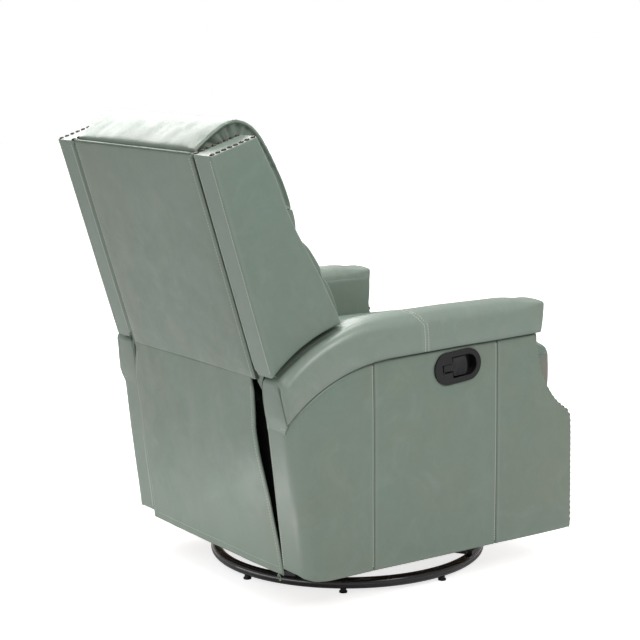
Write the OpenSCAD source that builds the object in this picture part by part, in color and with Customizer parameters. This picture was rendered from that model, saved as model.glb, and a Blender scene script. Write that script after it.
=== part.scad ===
// Swivel rocker recliner with winged back, curved arms, ring base and side release handle.
// Millimetres. +Z up, the chair faces -Y, its right-hand side (release handle) is -X.
// Profiles are written as [y, z] pairs about the swivel axis; y_mid moves the whole
// model so that the origin is the middle of its footprint box on the floor.

/* [Upholstered body] */
// Half width over the outer side covers
body_hw = 357; // [355:0.5:359]
// Half width over the arm pads
pad_hw = 367; // [365:0.5:369]
// Half width between the arms, at the inner covers
inner_hw = 280; // [279:0.5:281]
// Thickness of the outer side covers (leather on foam and board)
cover_t = 8; // [6:0.5:9]
// Half width of the seat cushion
seat_hw = 263; // [255:1:264]
// Thickness of one wing of the back
wing_t = 72; // [66:1:73]

/* [Back] */
// Lean of the back's rear face at rest, degrees
lean = 16.7; // [16.2:0.1:17]
// Radius of the arm pads' rear arc about the recline axis
arm_arc_r = 344; // [342:0.5:346]
// Radius of the wings' bottom arc about the recline axis
wing_arc_r = 356; // [354:0.5:358]

/* [Base] */
// Radius of the ring base to the middle of its tube
ring_r = 305; // [300:1:308]
// Radius of the ring's tube
tube_r = 12.5; // [11:0.5:12.5]
// Number of glides under the ring
glide_n = 8; // [6:1:10]
// Angle of the first glide about the swivel axis, degrees
glide_a = 8; // [0:1:20]
// Number of balls in the swivel bearing
ball_n = 24; // [12:1:40]

/* [Rocker] */
// Radius of the curved rocker cams
cam_r = 250; // [240:1:260]
// Height of the flat rocker rails' top face
rail_top = 96; // [95.5:0.1:96]

/* [Footrest linkage] */
// Length of the drive links between pivots
link_a = 190; // [188:0.5:191]
// Length of the outer links between pivots
link_b = 242; // [240:0.5:243]
// Thickness of the flat steel links
link_t = 3; // [2.5:0.1:3]

/* [Trim] */
// Radius of a nailhead
nail_r = 5.2; // [4:0.1:5.5]
// Spacing of the nailheads
nail_pitch = 15.4; // [14:0.1:18]

/* [Hidden] */
$fn = 64;
y_mid = -84;
sage = [0.50, 0.56, 0.51];
sage_dark = [0.42, 0.47, 0.43];
wood = [0.76, 0.62, 0.42];
steel = [0.16, 0.16, 0.17];
zinc = [0.62, 0.63, 0.64];
blackp = [0.06, 0.06, 0.07];
bronze = [0.25, 0.19, 0.14];

rc = [162, 264];            // recline axis
p0 = [-225, 320];           // footrest drive pivot
a0 = -48.5;                 // drive link angle at rest
b0 = 163;                   // outer link angle at rest
crank = 45;                 // outer link's tail beyond the drive link
ps = [-184.8, 304];       // control link pivot
rollers = [-20, 180];       // guide rollers along y
slide = 45;                 // seat travel

function dirv(a) = [cos(a), sin(a)];
function nrm(v) = v / norm(v);
function arc(c, r, s, e, n) = [for (i = [0:n]) c + r * dirv(s + (e - s) * i / n)];
function rev(P) = [for (i = [len(P) - 1:-1:0]) P[i]];
// moves a polyline sideways by d, to the left of its direction
function off(P, d) = [for (i = [0:len(P) - 1])
    let (t = nrm(P[min(i + 1, len(P) - 1)] - P[max(i - 1, 0)])) P[i] + d * [-t[1], t[0]]];
// point and direction at distance s along a polyline
function walk(P, s, i = 0) = let (g = norm(P[i + 1] - P[i]))
    (i >= len(P) - 2 || s <= g) ? [P[i] + (P[i + 1] - P[i]) * s / g, (P[i + 1] - P[i]) / g]
                                : walk(P, s - g, i + 1);
function plen(P, i = 0) = i >= len(P) - 1 ? 0 : norm(P[i + 1] - P[i]) + plen(P, i + 1);
function rear_y(z) = 358.6 + 0.1118 * (z - 96);

pe = p0 + link_a * dirv(a0);        // elbow
pf = pe + link_b * dirv(b0);        // footrest pivot
pc = pe - crank * dirv(b0);         // control link's free end

// front edge of the arms, from under the pad down to the hem
front_out = [[-262, 540], [-262, 521], [-267, 490], [-275, 458], [-288, 428], [-304, 402],
    [-322, 380], [-343, 362], [-357, 353], [-365, 341], [-367.5, 326], [-372, 77]];
front_in = off(front_out, 8);
seam_c = [129, 150];                // centre of the pad's lower seam arc
seam_r = 380;

function side_profile(back, a_end) = concat(front_in, [[318, 77], [rear_y(94) - back, 94]],
    arc(seam_c, seam_r, a_end, 90, 16));

module at() { translate([0, y_mid, 0]) children(); }
module both() { children(); mirror([1, 0, 0]) children(); }
module flip() { mirror([1, 0, 0]) children(); }
module yz(x0, x1) { translate([x0, 0, 0]) rotate([90, 0, 90]) linear_extrude(x1 - x0) children(); }
module rodx(x0, x1, p, r) { yz(x0, x1) translate(p) circle(r); }
module bar(a, b, w) {
    d = b - a;
    translate(a) rotate(atan2(d[1], d[0])) translate([0, -w / 2]) square([norm(d), w]);
    translate(a) circle(w / 2);
    translate(b) circle(w / 2);
}
// flat strip with rounded ends, as one outline
module strip(a, b, w) {
    g = atan2(b[1] - a[1], b[0] - a[0]);
    polygon(concat(arc(b, w / 2, g - 90, g + 90, 14), arc(a, w / 2, g + 90, g + 270, 14)));
}
module stadium(l, h) {
    square([l - h, h], center = true);
    for (s = [-1, 1]) translate([s * (l - h) / 2, 0]) circle(h / 2);
}
module ring_tube(extra = 0) {
    translate([0, 0, 21]) rotate_extrude($fn = 96) translate([ring_r, 0]) circle(tube_r + extra, $fn = 40);
}
module on_back() { translate([0, 412, 513]) rotate([-lean, 0, 0]) children(); }
module blk(a, b) { translate(a) cube(b - a); }

// ---------- ring base ----------
module base_ring() { color(steel) at() ring_tube(); }

module base_cross_bars() {
    color(steel) at() difference() {
        union() {
            for (a = [30.5, 120.5]) rotate(a) blk([-316, -18, 32.5], [316, 18, 42]);
            translate([0, 0, 32.5]) cylinder(r = 105, h = 9.5);
        }
        ring_tube();
        translate([0, 0, 30]) cylinder(r = 8, h = 20);
    }
}

module base_glides() {
    color(blackp) at() difference() {
        for (i = [0:glide_n - 1]) rotate(glide_a + i * 360 / glide_n) translate([ring_r, 0, 0]) {
            cylinder(r = 9, h = 3.5);
            translate([0, 0, 3.5]) cylinder(r = 6.5, h = 9);
        }
        ring_tube();
    }
}

module swivel_lower_plate() {
    color(zinc) at() difference() {
        union() {
            blk([-95, -95, 42], [95, 95, 45]);
            translate([0, 0, 45]) cylinder(r = 82, h = 7);
        }
        translate([0, 0, 45]) cylinder(r = 64, h = 20);
        translate([0, 0, 40]) cylinder(r = 8, h = 20);
        translate([0, 0, 53]) rotate_extrude() translate([73, 0]) circle(4.05, $fn = 32);
    }
}

module bearing_balls() {
    color(zinc) at() for (i = [0:ball_n - 1]) rotate(i * 360 / ball_n) translate([73, 0, 53]) sphere(4, $fn = 24);
}

module swivel_pin() {
    color(zinc) at() {
        translate([0, 0, 32.5]) cylinder(r = 8, h = 32.5);
        translate([0, 0, 65]) cylinder(r = 14, h = 5);
        translate([0, 0, 28]) cylinder(r = 13, h = 4.5);
    }
}

// ---------- rotating deck ----------
module swivel_upper_plate() {
    color(zinc) at() difference() {
        union() {
            blk([-115, -115, 61], [115, 115, 64]);
            translate([0, 0, 54]) cylinder(r = 82, h = 7);
        }
        translate([0, 0, 50]) cylinder(r = 64, h = 11);
        translate([0, 0, 50]) cylinder(r = 8.1, h = 20);
        translate([0, 0, 53]) rotate_extrude() translate([73, 0]) circle(4.05, $fn = 32);
    }
}

module rocker_crossmembers() {
    color(steel) at() for (s = [-1, 1]) difference() {
        blk([-215, 90 * s - 24, 64], [215, 90 * s + 24, 80]);
        blk([-216, 90 * s - 21, 63], [216, 90 * s + 21, 77]);
    }
}

module rocker_rail() { at() blk([170, -190, 80], [210, 190, rail_top]); }
module rocker_rails() { color(wood) both() rocker_rail(); }

module spring_lower_seats() {
    color(steel) at() both() {
        blk([118, -70, 84], [170, 70, 87]);
        for (s = [-1, 1]) translate([142, 45 * s, 87]) cylinder(r = 9, h = 4);
    }
}

// ---------- rocking chassis ----------
module rocker_cam() {
    at() intersection() {
        translate([172, 0, rail_top + 2 + cam_r]) rotate([0, 90, 0]) cylinder(r = cam_r, h = 38, $fn = 96);
        blk([170, -110, 90], [212, 110, 135]);
    }
}
module rocker_cams() { color(wood) both() rocker_cam(); }

module spring_upper_seats() {
    color(steel) at() both() {
        blk([118, -70, 131], [172, 70, 134]);
        for (s = [-1, 1]) translate([142, 45 * s, 127]) cylinder(r = 9, h = 4);
    }
}

// coil of round wire, swept as one closed tube
module coil(r, w, h, turns, sides, steps) {
    pts = [for (i = [0:steps]) let (a = 360 * turns * i / steps, c = [r * cos(a), r * sin(a), h * i / steps])
        for (k = [0:sides - 1]) let (b = 360 * k / sides)
            c + [w * cos(b) * cos(a), w * cos(b) * sin(a), w * sin(b)]];
    polyhedron(pts, concat([[for (k = [0:sides - 1]) k]],
        [for (i = [0:steps - 1]) for (k = [0:sides - 1]) let (n = (k + 1) % sides)
            [i * sides + k, (i + 1) * sides + k, (i + 1) * sides + n, i * sides + n]],
        [[for (k = [sides - 1:-1:0]) steps * sides + k]]));
}
module rocker_springs() {
    color(zinc) at() both() for (s = [-1, 1])
        translate([142, 45 * s, 89.7]) coil(13, 2, 38.6, 4.5, 6, 54);
}

module base_rail() { at() blk([212, -300, 100], [235, 300, 135]); }
module base_rail_left() { color(wood) base_rail(); }
module base_rail_right() { color(wood) flip() base_rail(); }

module front_cross_rail() { color(wood) at() blk([-inner_hw, -318, 82], [inner_hw, -300, 113]); }
module rear_cross_rail() { color(wood) at() blk([-inner_hw, 300, 82], [inner_hw, 318, 135]); }

module mechanism_plate() {
    at() {
        difference() {
            yz(264, 267) {
                translate([-280, 138]) square([510, 97]);
                translate([138, 230]) square([48, 34]);
                translate(rc) circle(24);
            }
            rodx(260, 270, rc, 6);
        }
        blk([212, -60, 135], [264, 230, 138]);
        blk([264, -60, 135], [267, 230, 138]);
    }
}
module mechanism_plate_left() { color(steel) mechanism_plate(); }
module mechanism_plate_right() { color(steel) flip() mechanism_plate(); }

module mechanism_pins() {
    color(zinc) at() {
        both() { rodx(263.4, 272, rc, 6); rodx(272, 275.5, rc, 10); }
        flip() { rodx(267, 271.5, [-130, 238], 4); rodx(271.5, 273.5, [-130, 238], 7); }
    }
}

module seat_guide_rollers() {
    color(blackp) at() both() for (y = rollers) { rodx(259, 264, [y, 215], 7.5); rodx(256.4, 259, [y, 215], 11); }
}

module arm_core() {
    yz(284, 349) polygon(side_profile(8, 47.3));
}
module arm_hollow() {
    yz(296, 337) polygon([[-345, 60], [-340, 325], [-290, 375], [-240, 450], [-225, 512],
        [120, 500], [215, 478], [300, 425], [350, 380], [325, 60]]);
}
module arm_frame_left() { color(wood) at() difference() { arm_core(); arm_hollow(); } }
module arm_frame_right() {
    color(wood) at() flip() difference() {
        arm_core();
        arm_hollow();
        yz(334, 360) translate([-38, 490.5]) rotate(-4.5) stadium(117.4, 62.4);
        rodx(270, 300, [-9, 262], 10);
    }
}

module outer_cover() {
    yz(body_hw - cover_t, body_hw) polygon(side_profile(0, 45.6));
    yz(inner_hw, body_hw - cover_t) polygon([[rear_y(94) - 8, 94], [rear_y(94), 94],
        [rear_y(421), 421.2], [rear_y(428) - 8, 428.4]]);
}
module arm_outer_cover_left() { color(sage) at() outer_cover(); }
module arm_outer_cover_right() {
    color(sage) at() flip() difference() {
        outer_cover();
        yz(334, 360) translate([-38, 490.5]) rotate(-4.5) stadium(117.4, 62.4);
    }
}

module inner_cover() { yz(inner_hw, 284) polygon(side_profile(8, 47.3)); }
module arm_inner_cover_left() { color(sage_dark) at() inner_cover(); }
module arm_inner_cover_right() {
    color(sage_dark) at() flip() difference() { inner_cover(); rodx(270, 300, [-9, 262], 10); }
}

module arm_facing() { at() yz(inner_hw, body_hw) polygon(concat(front_out, rev(front_in))); }
module arm_front_facing_left() { color(sage) arm_facing(); }
module arm_front_facing_right() { color(sage) flip() arm_facing(); }

module arm_pad() {
    at() yz(inner_hw + 1, pad_hw) polygon(concat(
        [[-262, 540.3], [-273, 548], [-273, 602], [-268, 608]],
        arc(rc, arm_arc_r, 90, 46.5, 24), [[405, 507], [404, 498], [397, 423]],
        arc(seam_c + [0, 0.3], seam_r, 45.6, 90, 18)));
}
module arm_pad_left() { color(sage) arm_pad(); }
module arm_pad_right() { color(sage) flip() arm_pad(); }

module arm_nailheads() {
    run = plen(front_out) - 30;
    color(bronze) at() both() for (x = [inner_hw + 6.5, body_hw - 6.5], i = [0:floor(run / nail_pitch)]) {
        w = walk(front_out, 24 + i * nail_pitch);
        difference() {
            translate([x, w[0][0], w[0][1]]) rotate([90 + atan2(w[1][0], -w[1][1]), 0, 0])
                translate([0, 0, -1.4]) cylinder(r = nail_r, h = 3.6, $fn = 24);
            yz(inner_hw - 2, body_hw + 2) polygon(concat(front_out, rev(front_in)));
        }
    }
}

module handle_bezel() {
    color(blackp) at() flip() difference() {
        union() {
            yz(body_hw, body_hw + 4) translate([-38, 490.5]) rotate(-4.5) stadium(125, 70);
            yz(335, body_hw) translate([-38, 490.5]) rotate(-4.5) stadium(117, 62);
        }
        yz(338, 370) translate([-38, 490.5]) rotate(-4.5) {
            intersection() { stadium(101, 46); translate([-60, -30]) square([75.2, 60]); }
            translate([0, -9.5]) square([42, 19]);
        }
        handle_place() translate([352, 34, -27]) cylinder(r = 2.5, h = 54, $fn = 32);
    }
}
// local frame of the handle: y along the bezel to the rear, z across it
module handle_place() { translate([0, -38, 490.5]) rotate([-4.5, 0, 0]) children(); }

module handle_pin() {
    color(zinc) at() flip() handle_place() translate([352, 34, -27]) cylinder(r = 2.5, h = 54, $fn = 32);
}

module release_paddle() {
    color(blackp) at() flip() handle_place() difference() {
        union() {
            translate([352, 34, -8.5]) cylinder(r = 5, h = 17);
            blk([349, 11, -8.5], [357, 34, 8.5]);
            blk([349, -24, -21], [358, 12, 21]);
            translate([353.5, -24, -21]) cylinder(r = 4.5, h = 42);
        }
        translate([352, 34, -30]) cylinder(r = 2.56, h = 60);
    }
}

cable_route = [[-331, -6, 476], [-322, 4, 440], [-317, 10, 390], [-315, 12, 335], [-310, 4, 290],
    [-298, -8, 266], [-284, -10, 262], [-277, -22, 258], [-275, -50, 256], [-275, -84, 255]];
function spline(P, i, t) = let (n = len(P) - 1, a = P[max(i - 1, 0)], b = P[i], c = P[min(i + 1, n)], d = P[min(i + 2, n)])
    0.5 * ((2 * b) + (c - a) * t + (2 * a - 5 * b + 4 * c - d) * t * t + (3 * b - a - 3 * c + d) * t * t * t);
module tube(P, r, sides) {
    n = len(P) - 1;
    pts = [for (i = [0:n]) let (t = nrm(P[min(i + 1, n)] - P[max(i - 1, 0)]),
            u = nrm(cross(t, [0, 1, 0.3])), v = cross(u, t))
        for (k = [0:sides - 1]) P[i] + r * (u * cos(360 * k / sides) + v * sin(360 * k / sides))];
    polyhedron(pts, concat([[for (k = [sides - 1:-1:0]) k]],
        [for (i = [0:n - 1]) for (k = [0:sides - 1]) let (m = (k + 1) % sides)
            [i * sides + k, i * sides + m, (i + 1) * sides + m, (i + 1) * sides + k]],
        [[for (k = [0:sides - 1]) n * sides + k]]));
}
module release_cable() {
    n = len(cable_route) - 1;
    color(blackp) at() tube([for (i = [0:n - 1]) for (t = [0, 0.33, 0.67]) spline(cable_route, i, t), cable_route[n]], 2.5, 8);
}

module latch_lever() {
    color(zinc) at() flip() difference() {
        yz(268, 271) { strip([-130, 238], [-100, 246], 16); strip([-130, 238], [-140, 210], 14); }
        rodx(260, 280, [-130, 238], 4.05);
    }
}

module back_skirt() {
    color(sage) at() yz(-243, 243) polygon([[350, 80], [356.5, 80], [397, 494], [390, 494]]);
}

// ---------- sliding seat ----------
module seat_rail() {
    at() difference() {
        union() {
            yz(259.5, 262.5) translate([-262, 196]) square([502, 152]);
            blk([225, -120, 345], [259.5, 200, 348]);
            rodx(246.9, 259.5, ps, 5);
            rodx(245.4, 246.9, ps, 8);
        }
        rodx(250, 270, p0, 6.05);
        for (y = rollers) yz(250, 270) bar([y, 215], [y + slide, 215], 15.4);
    }
}
module seat_rail_left() { color(steel) seat_rail(); }
module seat_rail_right() { color(steel) flip() seat_rail(); }

module seat_frame() {
    color(wood) at() difference() {
        blk([-244, -275, 300], [244, 202, 345]);
        blk([-222, -257, 290], [222, 184, 350]);
        rodx(-260, 260, p0, 13);
    }
}

// flat zigzag of spring wire
module zigzag(x) {
    n = 22;
    mid = [for (i = [0:n]) [x + (i == 0 || i == n ? 0 : (i % 2 == 0 ? 16 : -16)), -266 + i * 459 / n]];
    translate([0, 0, 345.3]) linear_extrude(3) polygon(concat(
        [for (i = [0:n]) mid[i] + [3.6, 0]], [for (i = [n:-1:0]) mid[i] - [3.6, 0]]));
}
module seat_springs() { color(zinc) at() for (i = [-2:2]) zigzag(i * 84); }

module seat_cushion() {
    color(sage) at() yz(-seat_hw, seat_hw) polygon(concat(
        [[-370, 372], [-379, 377], [-381, 384], [-381, 466], [-376, 480], [-362, 489], [-344, 493], [226, 493]],
        arc(rc, 238, 73.5, 45, 10), [[330, 352], [-262, 352], [-266, 372]]));
}

// ---------- reclining back ----------
module back_outer_panel() { color(sage) at() on_back() blk([-257.6, -14, -15], [257.6, 0, 472.5]); }

module back_frame() {
    color(wood) at() on_back() {
        for (s = [-1, 1]) blk([s * 232.5 - 17.5, -58, 20], [s * 232.5 + 17.5, -14.3, 440]);
        for (z = [20, 145, 270, 395]) blk([-216, -58, z], [216, -40, z + 45]);
    }
}

module wing() {
    at() yz(258, 258 + wing_t) polygon(concat([[549, 966], [442, 1000], [419, 957], [396, 913], [381, 876],
        [367, 841], [349, 806], [329, 772], [309, 738], [289, 704], [268, 662]],
        arc(rc, wing_arc_r, 76.8, 45, 20)));
}
module wing_left() { color(sage) wing(); }
module wing_right() { color(sage) flip() wing(); }

module wing_nailheads() {
    a = [442, 1000];
    b = [549, 966];
    t = nrm(b - a);
    color(bronze) at() both() for (x = [258 + 6, 258 + wing_t - 6], i = [0:7]) {
        p = a + t * (7 + i * 14);
        translate([x, p[0], p[1]]) rotate([atan2(t[1], t[0]), 0, 0]) cylinder(r = nail_r, h = 2.2, $fn = 24);
    }
}

module back_cushion() {
    color(sage) at() yz(-256, 256) polygon(concat(
        [[318, 842], [301, 811], [282, 778], [264, 750], [247, 724], [230, 692], [212, 655], [199, 615], [194, 575], [201, 535], [214, 506]],
        arc(rc, 246, 76, 60, 6), [[350, 510], [450, 842]]));
}

module head_cushion() {
    color(sage) at() yz(-256, 256) polygon([[318.5, 843], [326, 873], [338, 908], [354, 943], [371, 974], [390, 1002],
        [412, 1021], [440, 1030.5], [455, 1031], [478, 1021], [513, 997], [543, 970.8], [533.7, 971.2],
        [525, 941], [482, 953.5], [449.6, 843]]);
}

module back_bracket() {
    at() difference() {
        union() {
            yz(268.5, 271.5) {
                translate(rc) circle(20);
                polygon([[148, 278.3], [176, 249.7], [394, 490], [384, 509], [352, 509]]);
            }
            blk([250.3, 352, 509], [271.5, 384, 512]);
            intersection() {
                on_back() blk([250.3, -54, -20], [253.3, -18, 170]);
                blk([240, 300, 509], [260, 600, 900]);
            }
        }
        rodx(260, 280, rc, 6.05);
    }
}
module back_bracket_left() { color(steel) back_bracket(); }
module back_bracket_right() { color(steel) flip() back_bracket(); }

// ---------- footrest ----------
module footrest_drive_tube() {
    color(steel) at() { rodx(-238, 238, p0, 11); rodx(-263, 263, p0, 6); }
}
module footrest_drive_links() {
    color(steel) at() both() difference() {
        union() {
            yz(255.5, 255.5 + link_t) { bar(p0, pe, 24); translate(p0) circle(15); }
            rodx(251.2, 255.5, pe, 5);
            rodx(250.7, 251.2, pe, 8);
        }
        rodx(240, 258.6, p0, 6);
    }
}
module footrest_outer_links() {
    color(steel) at() both() difference() {
        yz(251.5, 251.5 + link_t) strip(pc, pf, 22);
        rodx(240, 260, pe, 5.05);
        rodx(240, 260, pf, 5.05);
        rodx(240, 260, pc, 6.6);
    }
}
module footrest_control_links() {
    color(steel) at() both() difference() {
        union() {
            yz(247.2, 247.2 + link_t) bar(ps, pc, 18);
            rodx(250.2, 254.8, pc, 4);
        }
        rodx(240, 260, ps, 5.05);
    }
}
module footrest_brackets() {
    color(steel) at() both() {
        yz(255.5, 258.5) polygon([pf + [11, -12], pf + [11, 12], [-346, 300], [-346, 198]]);
        rodx(251.2, 255.5, pf, 5);
        rodx(250.4, 251.2, pf, 8);
    }
}
module footrest_board() { color(wood) at() blk([-262, -361, 92], [262, -346, 352]); }
module footrest_cushion() { color(sage) at() blk([-266, -381, 90], [266, -361, 356]); }

base_ring();
base_cross_bars();
base_glides();
swivel_lower_plate();
bearing_balls();
swivel_pin();
swivel_upper_plate();
rocker_crossmembers();
rocker_rails();
spring_lower_seats();
rocker_cams();
spring_upper_seats();
rocker_springs();
base_rail_left();
base_rail_right();
front_cross_rail();
rear_cross_rail();
mechanism_plate_left();
mechanism_plate_right();
mechanism_pins();
seat_guide_rollers();
arm_frame_left();
arm_frame_right();
arm_outer_cover_left();
arm_outer_cover_right();
arm_inner_cover_left();
arm_inner_cover_right();
arm_front_facing_left();
arm_front_facing_right();
arm_pad_left();
arm_pad_right();
arm_nailheads();
handle_bezel();
handle_pin();
release_paddle();
release_cable();
latch_lever();
back_skirt();
seat_rail_left();
seat_rail_right();
seat_frame();
seat_springs();
seat_cushion();
back_outer_panel();
back_frame();
wing_left();
wing_right();
wing_nailheads();
back_cushion();
head_cushion();
back_bracket_left();
back_bracket_right();
footrest_drive_tube();
footrest_drive_links();
footrest_outer_links();
footrest_control_links();
footrest_brackets();
footrest_board();
footrest_cushion();
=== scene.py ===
import math
import bpy
import bmesh
import numpy as np
from mathutils import Matrix, Vector, noise
from mathutils.bvhtree import BVHTree


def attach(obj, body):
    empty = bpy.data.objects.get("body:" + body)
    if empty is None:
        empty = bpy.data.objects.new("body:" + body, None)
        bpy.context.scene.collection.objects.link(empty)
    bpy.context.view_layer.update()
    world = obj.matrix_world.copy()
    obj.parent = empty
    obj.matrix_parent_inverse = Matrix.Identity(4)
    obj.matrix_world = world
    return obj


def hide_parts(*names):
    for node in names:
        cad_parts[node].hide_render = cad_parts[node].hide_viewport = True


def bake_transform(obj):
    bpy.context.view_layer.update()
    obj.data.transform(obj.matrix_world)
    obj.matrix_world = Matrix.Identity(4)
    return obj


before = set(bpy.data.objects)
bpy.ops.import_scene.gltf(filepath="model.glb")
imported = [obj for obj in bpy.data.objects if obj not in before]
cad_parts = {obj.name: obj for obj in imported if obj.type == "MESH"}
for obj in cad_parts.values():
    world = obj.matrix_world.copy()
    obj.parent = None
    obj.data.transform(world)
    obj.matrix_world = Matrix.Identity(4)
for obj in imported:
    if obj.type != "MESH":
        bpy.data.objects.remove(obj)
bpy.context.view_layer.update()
YM = -84.0            # the swivel axis is 84 mm in front of the footprint's middle
SCN = bpy.context.scene

# ------------------------------------------------------------------ camera
C = Vector((-3.21626576, 2.19133524, 1.22360655))
yaw, pitch, roll = (math.radians(a) for a in (34.41445747, 9.75548402, -0.46619166))
fw = Vector((math.cos(pitch) * math.cos(yaw), -math.cos(pitch) * math.sin(yaw), -math.sin(pitch)))
r1 = fw.cross(Vector((0, 0, 1))).normalized()
u1 = r1.cross(fw)
right = r1 * math.cos(roll) + u1 * math.sin(roll)
up = -r1 * math.sin(roll) + u1 * math.cos(roll)
cam_data = bpy.data.cameras.new("camera")
cam_data.sensor_width = 36.0
cam_data.lens = 36.0 * 1749.0075 / 640.0
cam_data.clip_start, cam_data.clip_end = 0.05, 60
cam = bpy.data.objects.new("camera", cam_data)
SCN.collection.objects.link(cam)
m = Matrix((right, up, -fw)).transposed().to_4x4()
m.translation = C
cam.matrix_world = m
SCN.camera = cam
SCN.view_settings.view_transform = "Standard"
SCN.view_settings.look = "None"


# ------------------------------------------------------------------ node helpers
def tree(name):
    mat = bpy.data.materials.new(name)
    mat.use_nodes = True
    t = mat.node_tree
    t.nodes.clear()
    out = t.nodes.new("ShaderNodeOutputMaterial")
    b = t.nodes.new("ShaderNodeBsdfPrincipled")
    t.links.new(b.outputs[0], out.inputs[0])
    tc = t.nodes.new("ShaderNodeTexCoord")
    return mat, t, b, tc.outputs["Object"]


def n_noise(t, co, scale, detail=4.0, rough=0.55, distort=0.0, stretch=None):
    if stretch:
        mp = t.nodes.new("ShaderNodeMapping")
        mp.inputs["Scale"].default_value = stretch
        t.links.new(co, mp.inputs[0])
        co = mp.outputs[0]
    n = t.nodes.new("ShaderNodeTexNoise")
    n.inputs["Scale"].default_value = scale
    n.inputs["Detail"].default_value = detail
    n.inputs["Roughness"].default_value = rough
    n.inputs["Distortion"].default_value = distort
    t.links.new(co, n.inputs["Vector"])
    return n.outputs["Fac"]


def n_range(t, v, a, b, c, d):
    n = t.nodes.new("ShaderNodeMapRange")
    n.inputs[1].default_value, n.inputs[2].default_value = a, b
    n.inputs[3].default_value, n.inputs[4].default_value = c, d
    t.links.new(v, n.inputs[0])
    return n.outputs[0]


def n_mix(t, fac, a, b):
    n = t.nodes.new("ShaderNodeMix")
    n.data_type = "RGBA"
    if isinstance(fac, float):
        n.inputs[0].default_value = fac
    else:
        t.links.new(fac, n.inputs[0])
    for s, v in ((6, a), (7, b)):
        if isinstance(v, tuple):
            n.inputs[s].default_value = (*v, 1)
        else:
            t.links.new(v, n.inputs[s])
    return n.outputs[2]


def n_math(t, op, a, b=None):
    n = t.nodes.new("ShaderNodeMath")
    n.operation = op
    for i, v in enumerate((a, b)):
        if v is None:
            continue
        if isinstance(v, (int, float)):
            n.inputs[i].default_value = v
        else:
            t.links.new(v, n.inputs[i])
    return n.outputs[0]


def n_bump(t, h, strength, dist, prev=None):
    n = t.nodes.new("ShaderNodeBump")
    n.inputs["Strength"].default_value = strength
    n.inputs["Distance"].default_value = dist
    t.links.new(h, n.inputs["Height"])
    if prev is not None:
        t.links.new(prev, n.inputs["Normal"])
    return n.outputs[0]


def n_voronoi(t, co, scale, feature="F1"):
    n = t.nodes.new("ShaderNodeTexVoronoi")
    n.feature = feature
    n.inputs["Scale"].default_value = scale
    t.links.new(co, n.inputs["Vector"])
    return n.outputs["Distance"]


# ------------------------------------------------------------------ materials
def leather(name, base=(0.166, 0.226, 0.184), brown=(0.184, 0.216, 0.166), light=(0.235, 0.290, 0.245), seed=0.0, rough=0.40):
    mat, t, b, co = tree(name)
    mp = t.nodes.new("ShaderNodeMapping")
    mp.inputs["Location"].default_value = (seed, seed * 1.7, -seed)
    t.links.new(co, mp.inputs[0])
    co = mp.outputs[0]
    big = n_range(t, n_noise(t, co, 4.2, 5, 0.62, 0.35), 0.34, 0.66, 0, 1)
    mid = n_range(t, n_noise(t, co, 17, 6, 0.68, 0.6), 0.38, 0.68, 0, 1)
    fine = n_range(t, n_noise(t, co, 120, 3, 0.6), 0.3, 0.7, 0, 1)
    col = n_mix(t, big, base, brown)
    col = n_mix(t, n_math(t, "MULTIPLY", mid, 0.5), col, tuple(0.87 * c for c in base))
    cloud = n_range(t, n_noise(t, co, 9.5, 6, 0.7, 1.1), 0.52, 0.72, 0, 1)
    col = n_mix(t, n_math(t, "MULTIPLY", cloud, 0.34), col, light)
    col = n_mix(t, n_math(t, "MULTIPLY", fine, 0.10), col, light)
    # Lightened by a painted per-vertex mask: real rub along seams and edges, and also painted highlights on lit ridges,
    # edges and faces.
    at = t.nodes.new("ShaderNodeAttribute")
    at.attribute_name = "seam"
    rub_and_highlight_mix = n_math(t, "MULTIPLY", at.outputs["Fac"], n_range(t, mid, 0, 1, 0.45, 0.9))
    col = n_mix(t, n_math(t, "MULTIPLY", rub_and_highlight_mix, 0.55), col, light)
    # Darkened toward near-black by a painted per-vertex mask: painted shade in creases, seam grooves, under overhangs
    # and on dimmer areas.
    painted_shade_attr = t.nodes.new("ShaderNodeAttribute")
    painted_shade_attr.attribute_name = "crease"
    col = n_mix(t, n_math(t, "MULTIPLY", painted_shade_attr.outputs["Fac"], 0.8), col, (0.02, 0.028, 0.024))
    tan = t.nodes.new("ShaderNodeAttribute")
    tan.attribute_name = "tan"
    col = n_mix(t, n_math(t, "MULTIPLY", tan.outputs["Fac"], 0.75), col, (0.235, 0.200, 0.170))
    t.links.new(col, b.inputs["Base Color"])
    r = n_math(t, "ADD", n_range(t, mid, 0, 1, rough - 0.05, rough + 0.06), n_range(t, fine, 0, 1, -0.03, 0.03))
    t.links.new(r, b.inputs["Roughness"])
    pebble = n_voronoi(t, co, 620, "SMOOTH_F1")
    pores = n_noise(t, co, 1500, 2, 0.5)
    wrinkle = n_noise(t, co, 46, 5, 0.62, 1.2)
    h = n_bump(t, wrinkle, 0.16, 0.0022)
    h = n_bump(t, pebble, 0.22, 0.00045, h)
    h = n_bump(t, pores, 0.10, 0.0002, h)
    t.links.new(h, b.inputs["Normal"])
    b.inputs["Specular IOR Level"].default_value = 0.55
    b.inputs["Coat Weight"].default_value = 0.22
    b.inputs["Coat Roughness"].default_value = 0.27
    return mat


def paint_black():
    mat, t, b, co = tree("gloss_black_paint")
    v = n_noise(t, co, 60, 4, 0.6)
    t.links.new(n_mix(t, v, (0.006, 0.006, 0.007), (0.014, 0.014, 0.015)), b.inputs["Base Color"])
    t.links.new(n_range(t, n_noise(t, co, 25, 5, 0.6), 0.3, 0.7, 0.16, 0.30), b.inputs["Roughness"])
    t.links.new(n_bump(t, n_noise(t, co, 380, 2, 0.5), 0.06, 0.0003), b.inputs["Normal"])
    b.inputs["Coat Weight"].default_value = 0.5
    b.inputs["Coat Roughness"].default_value = 0.12
    return mat


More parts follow.
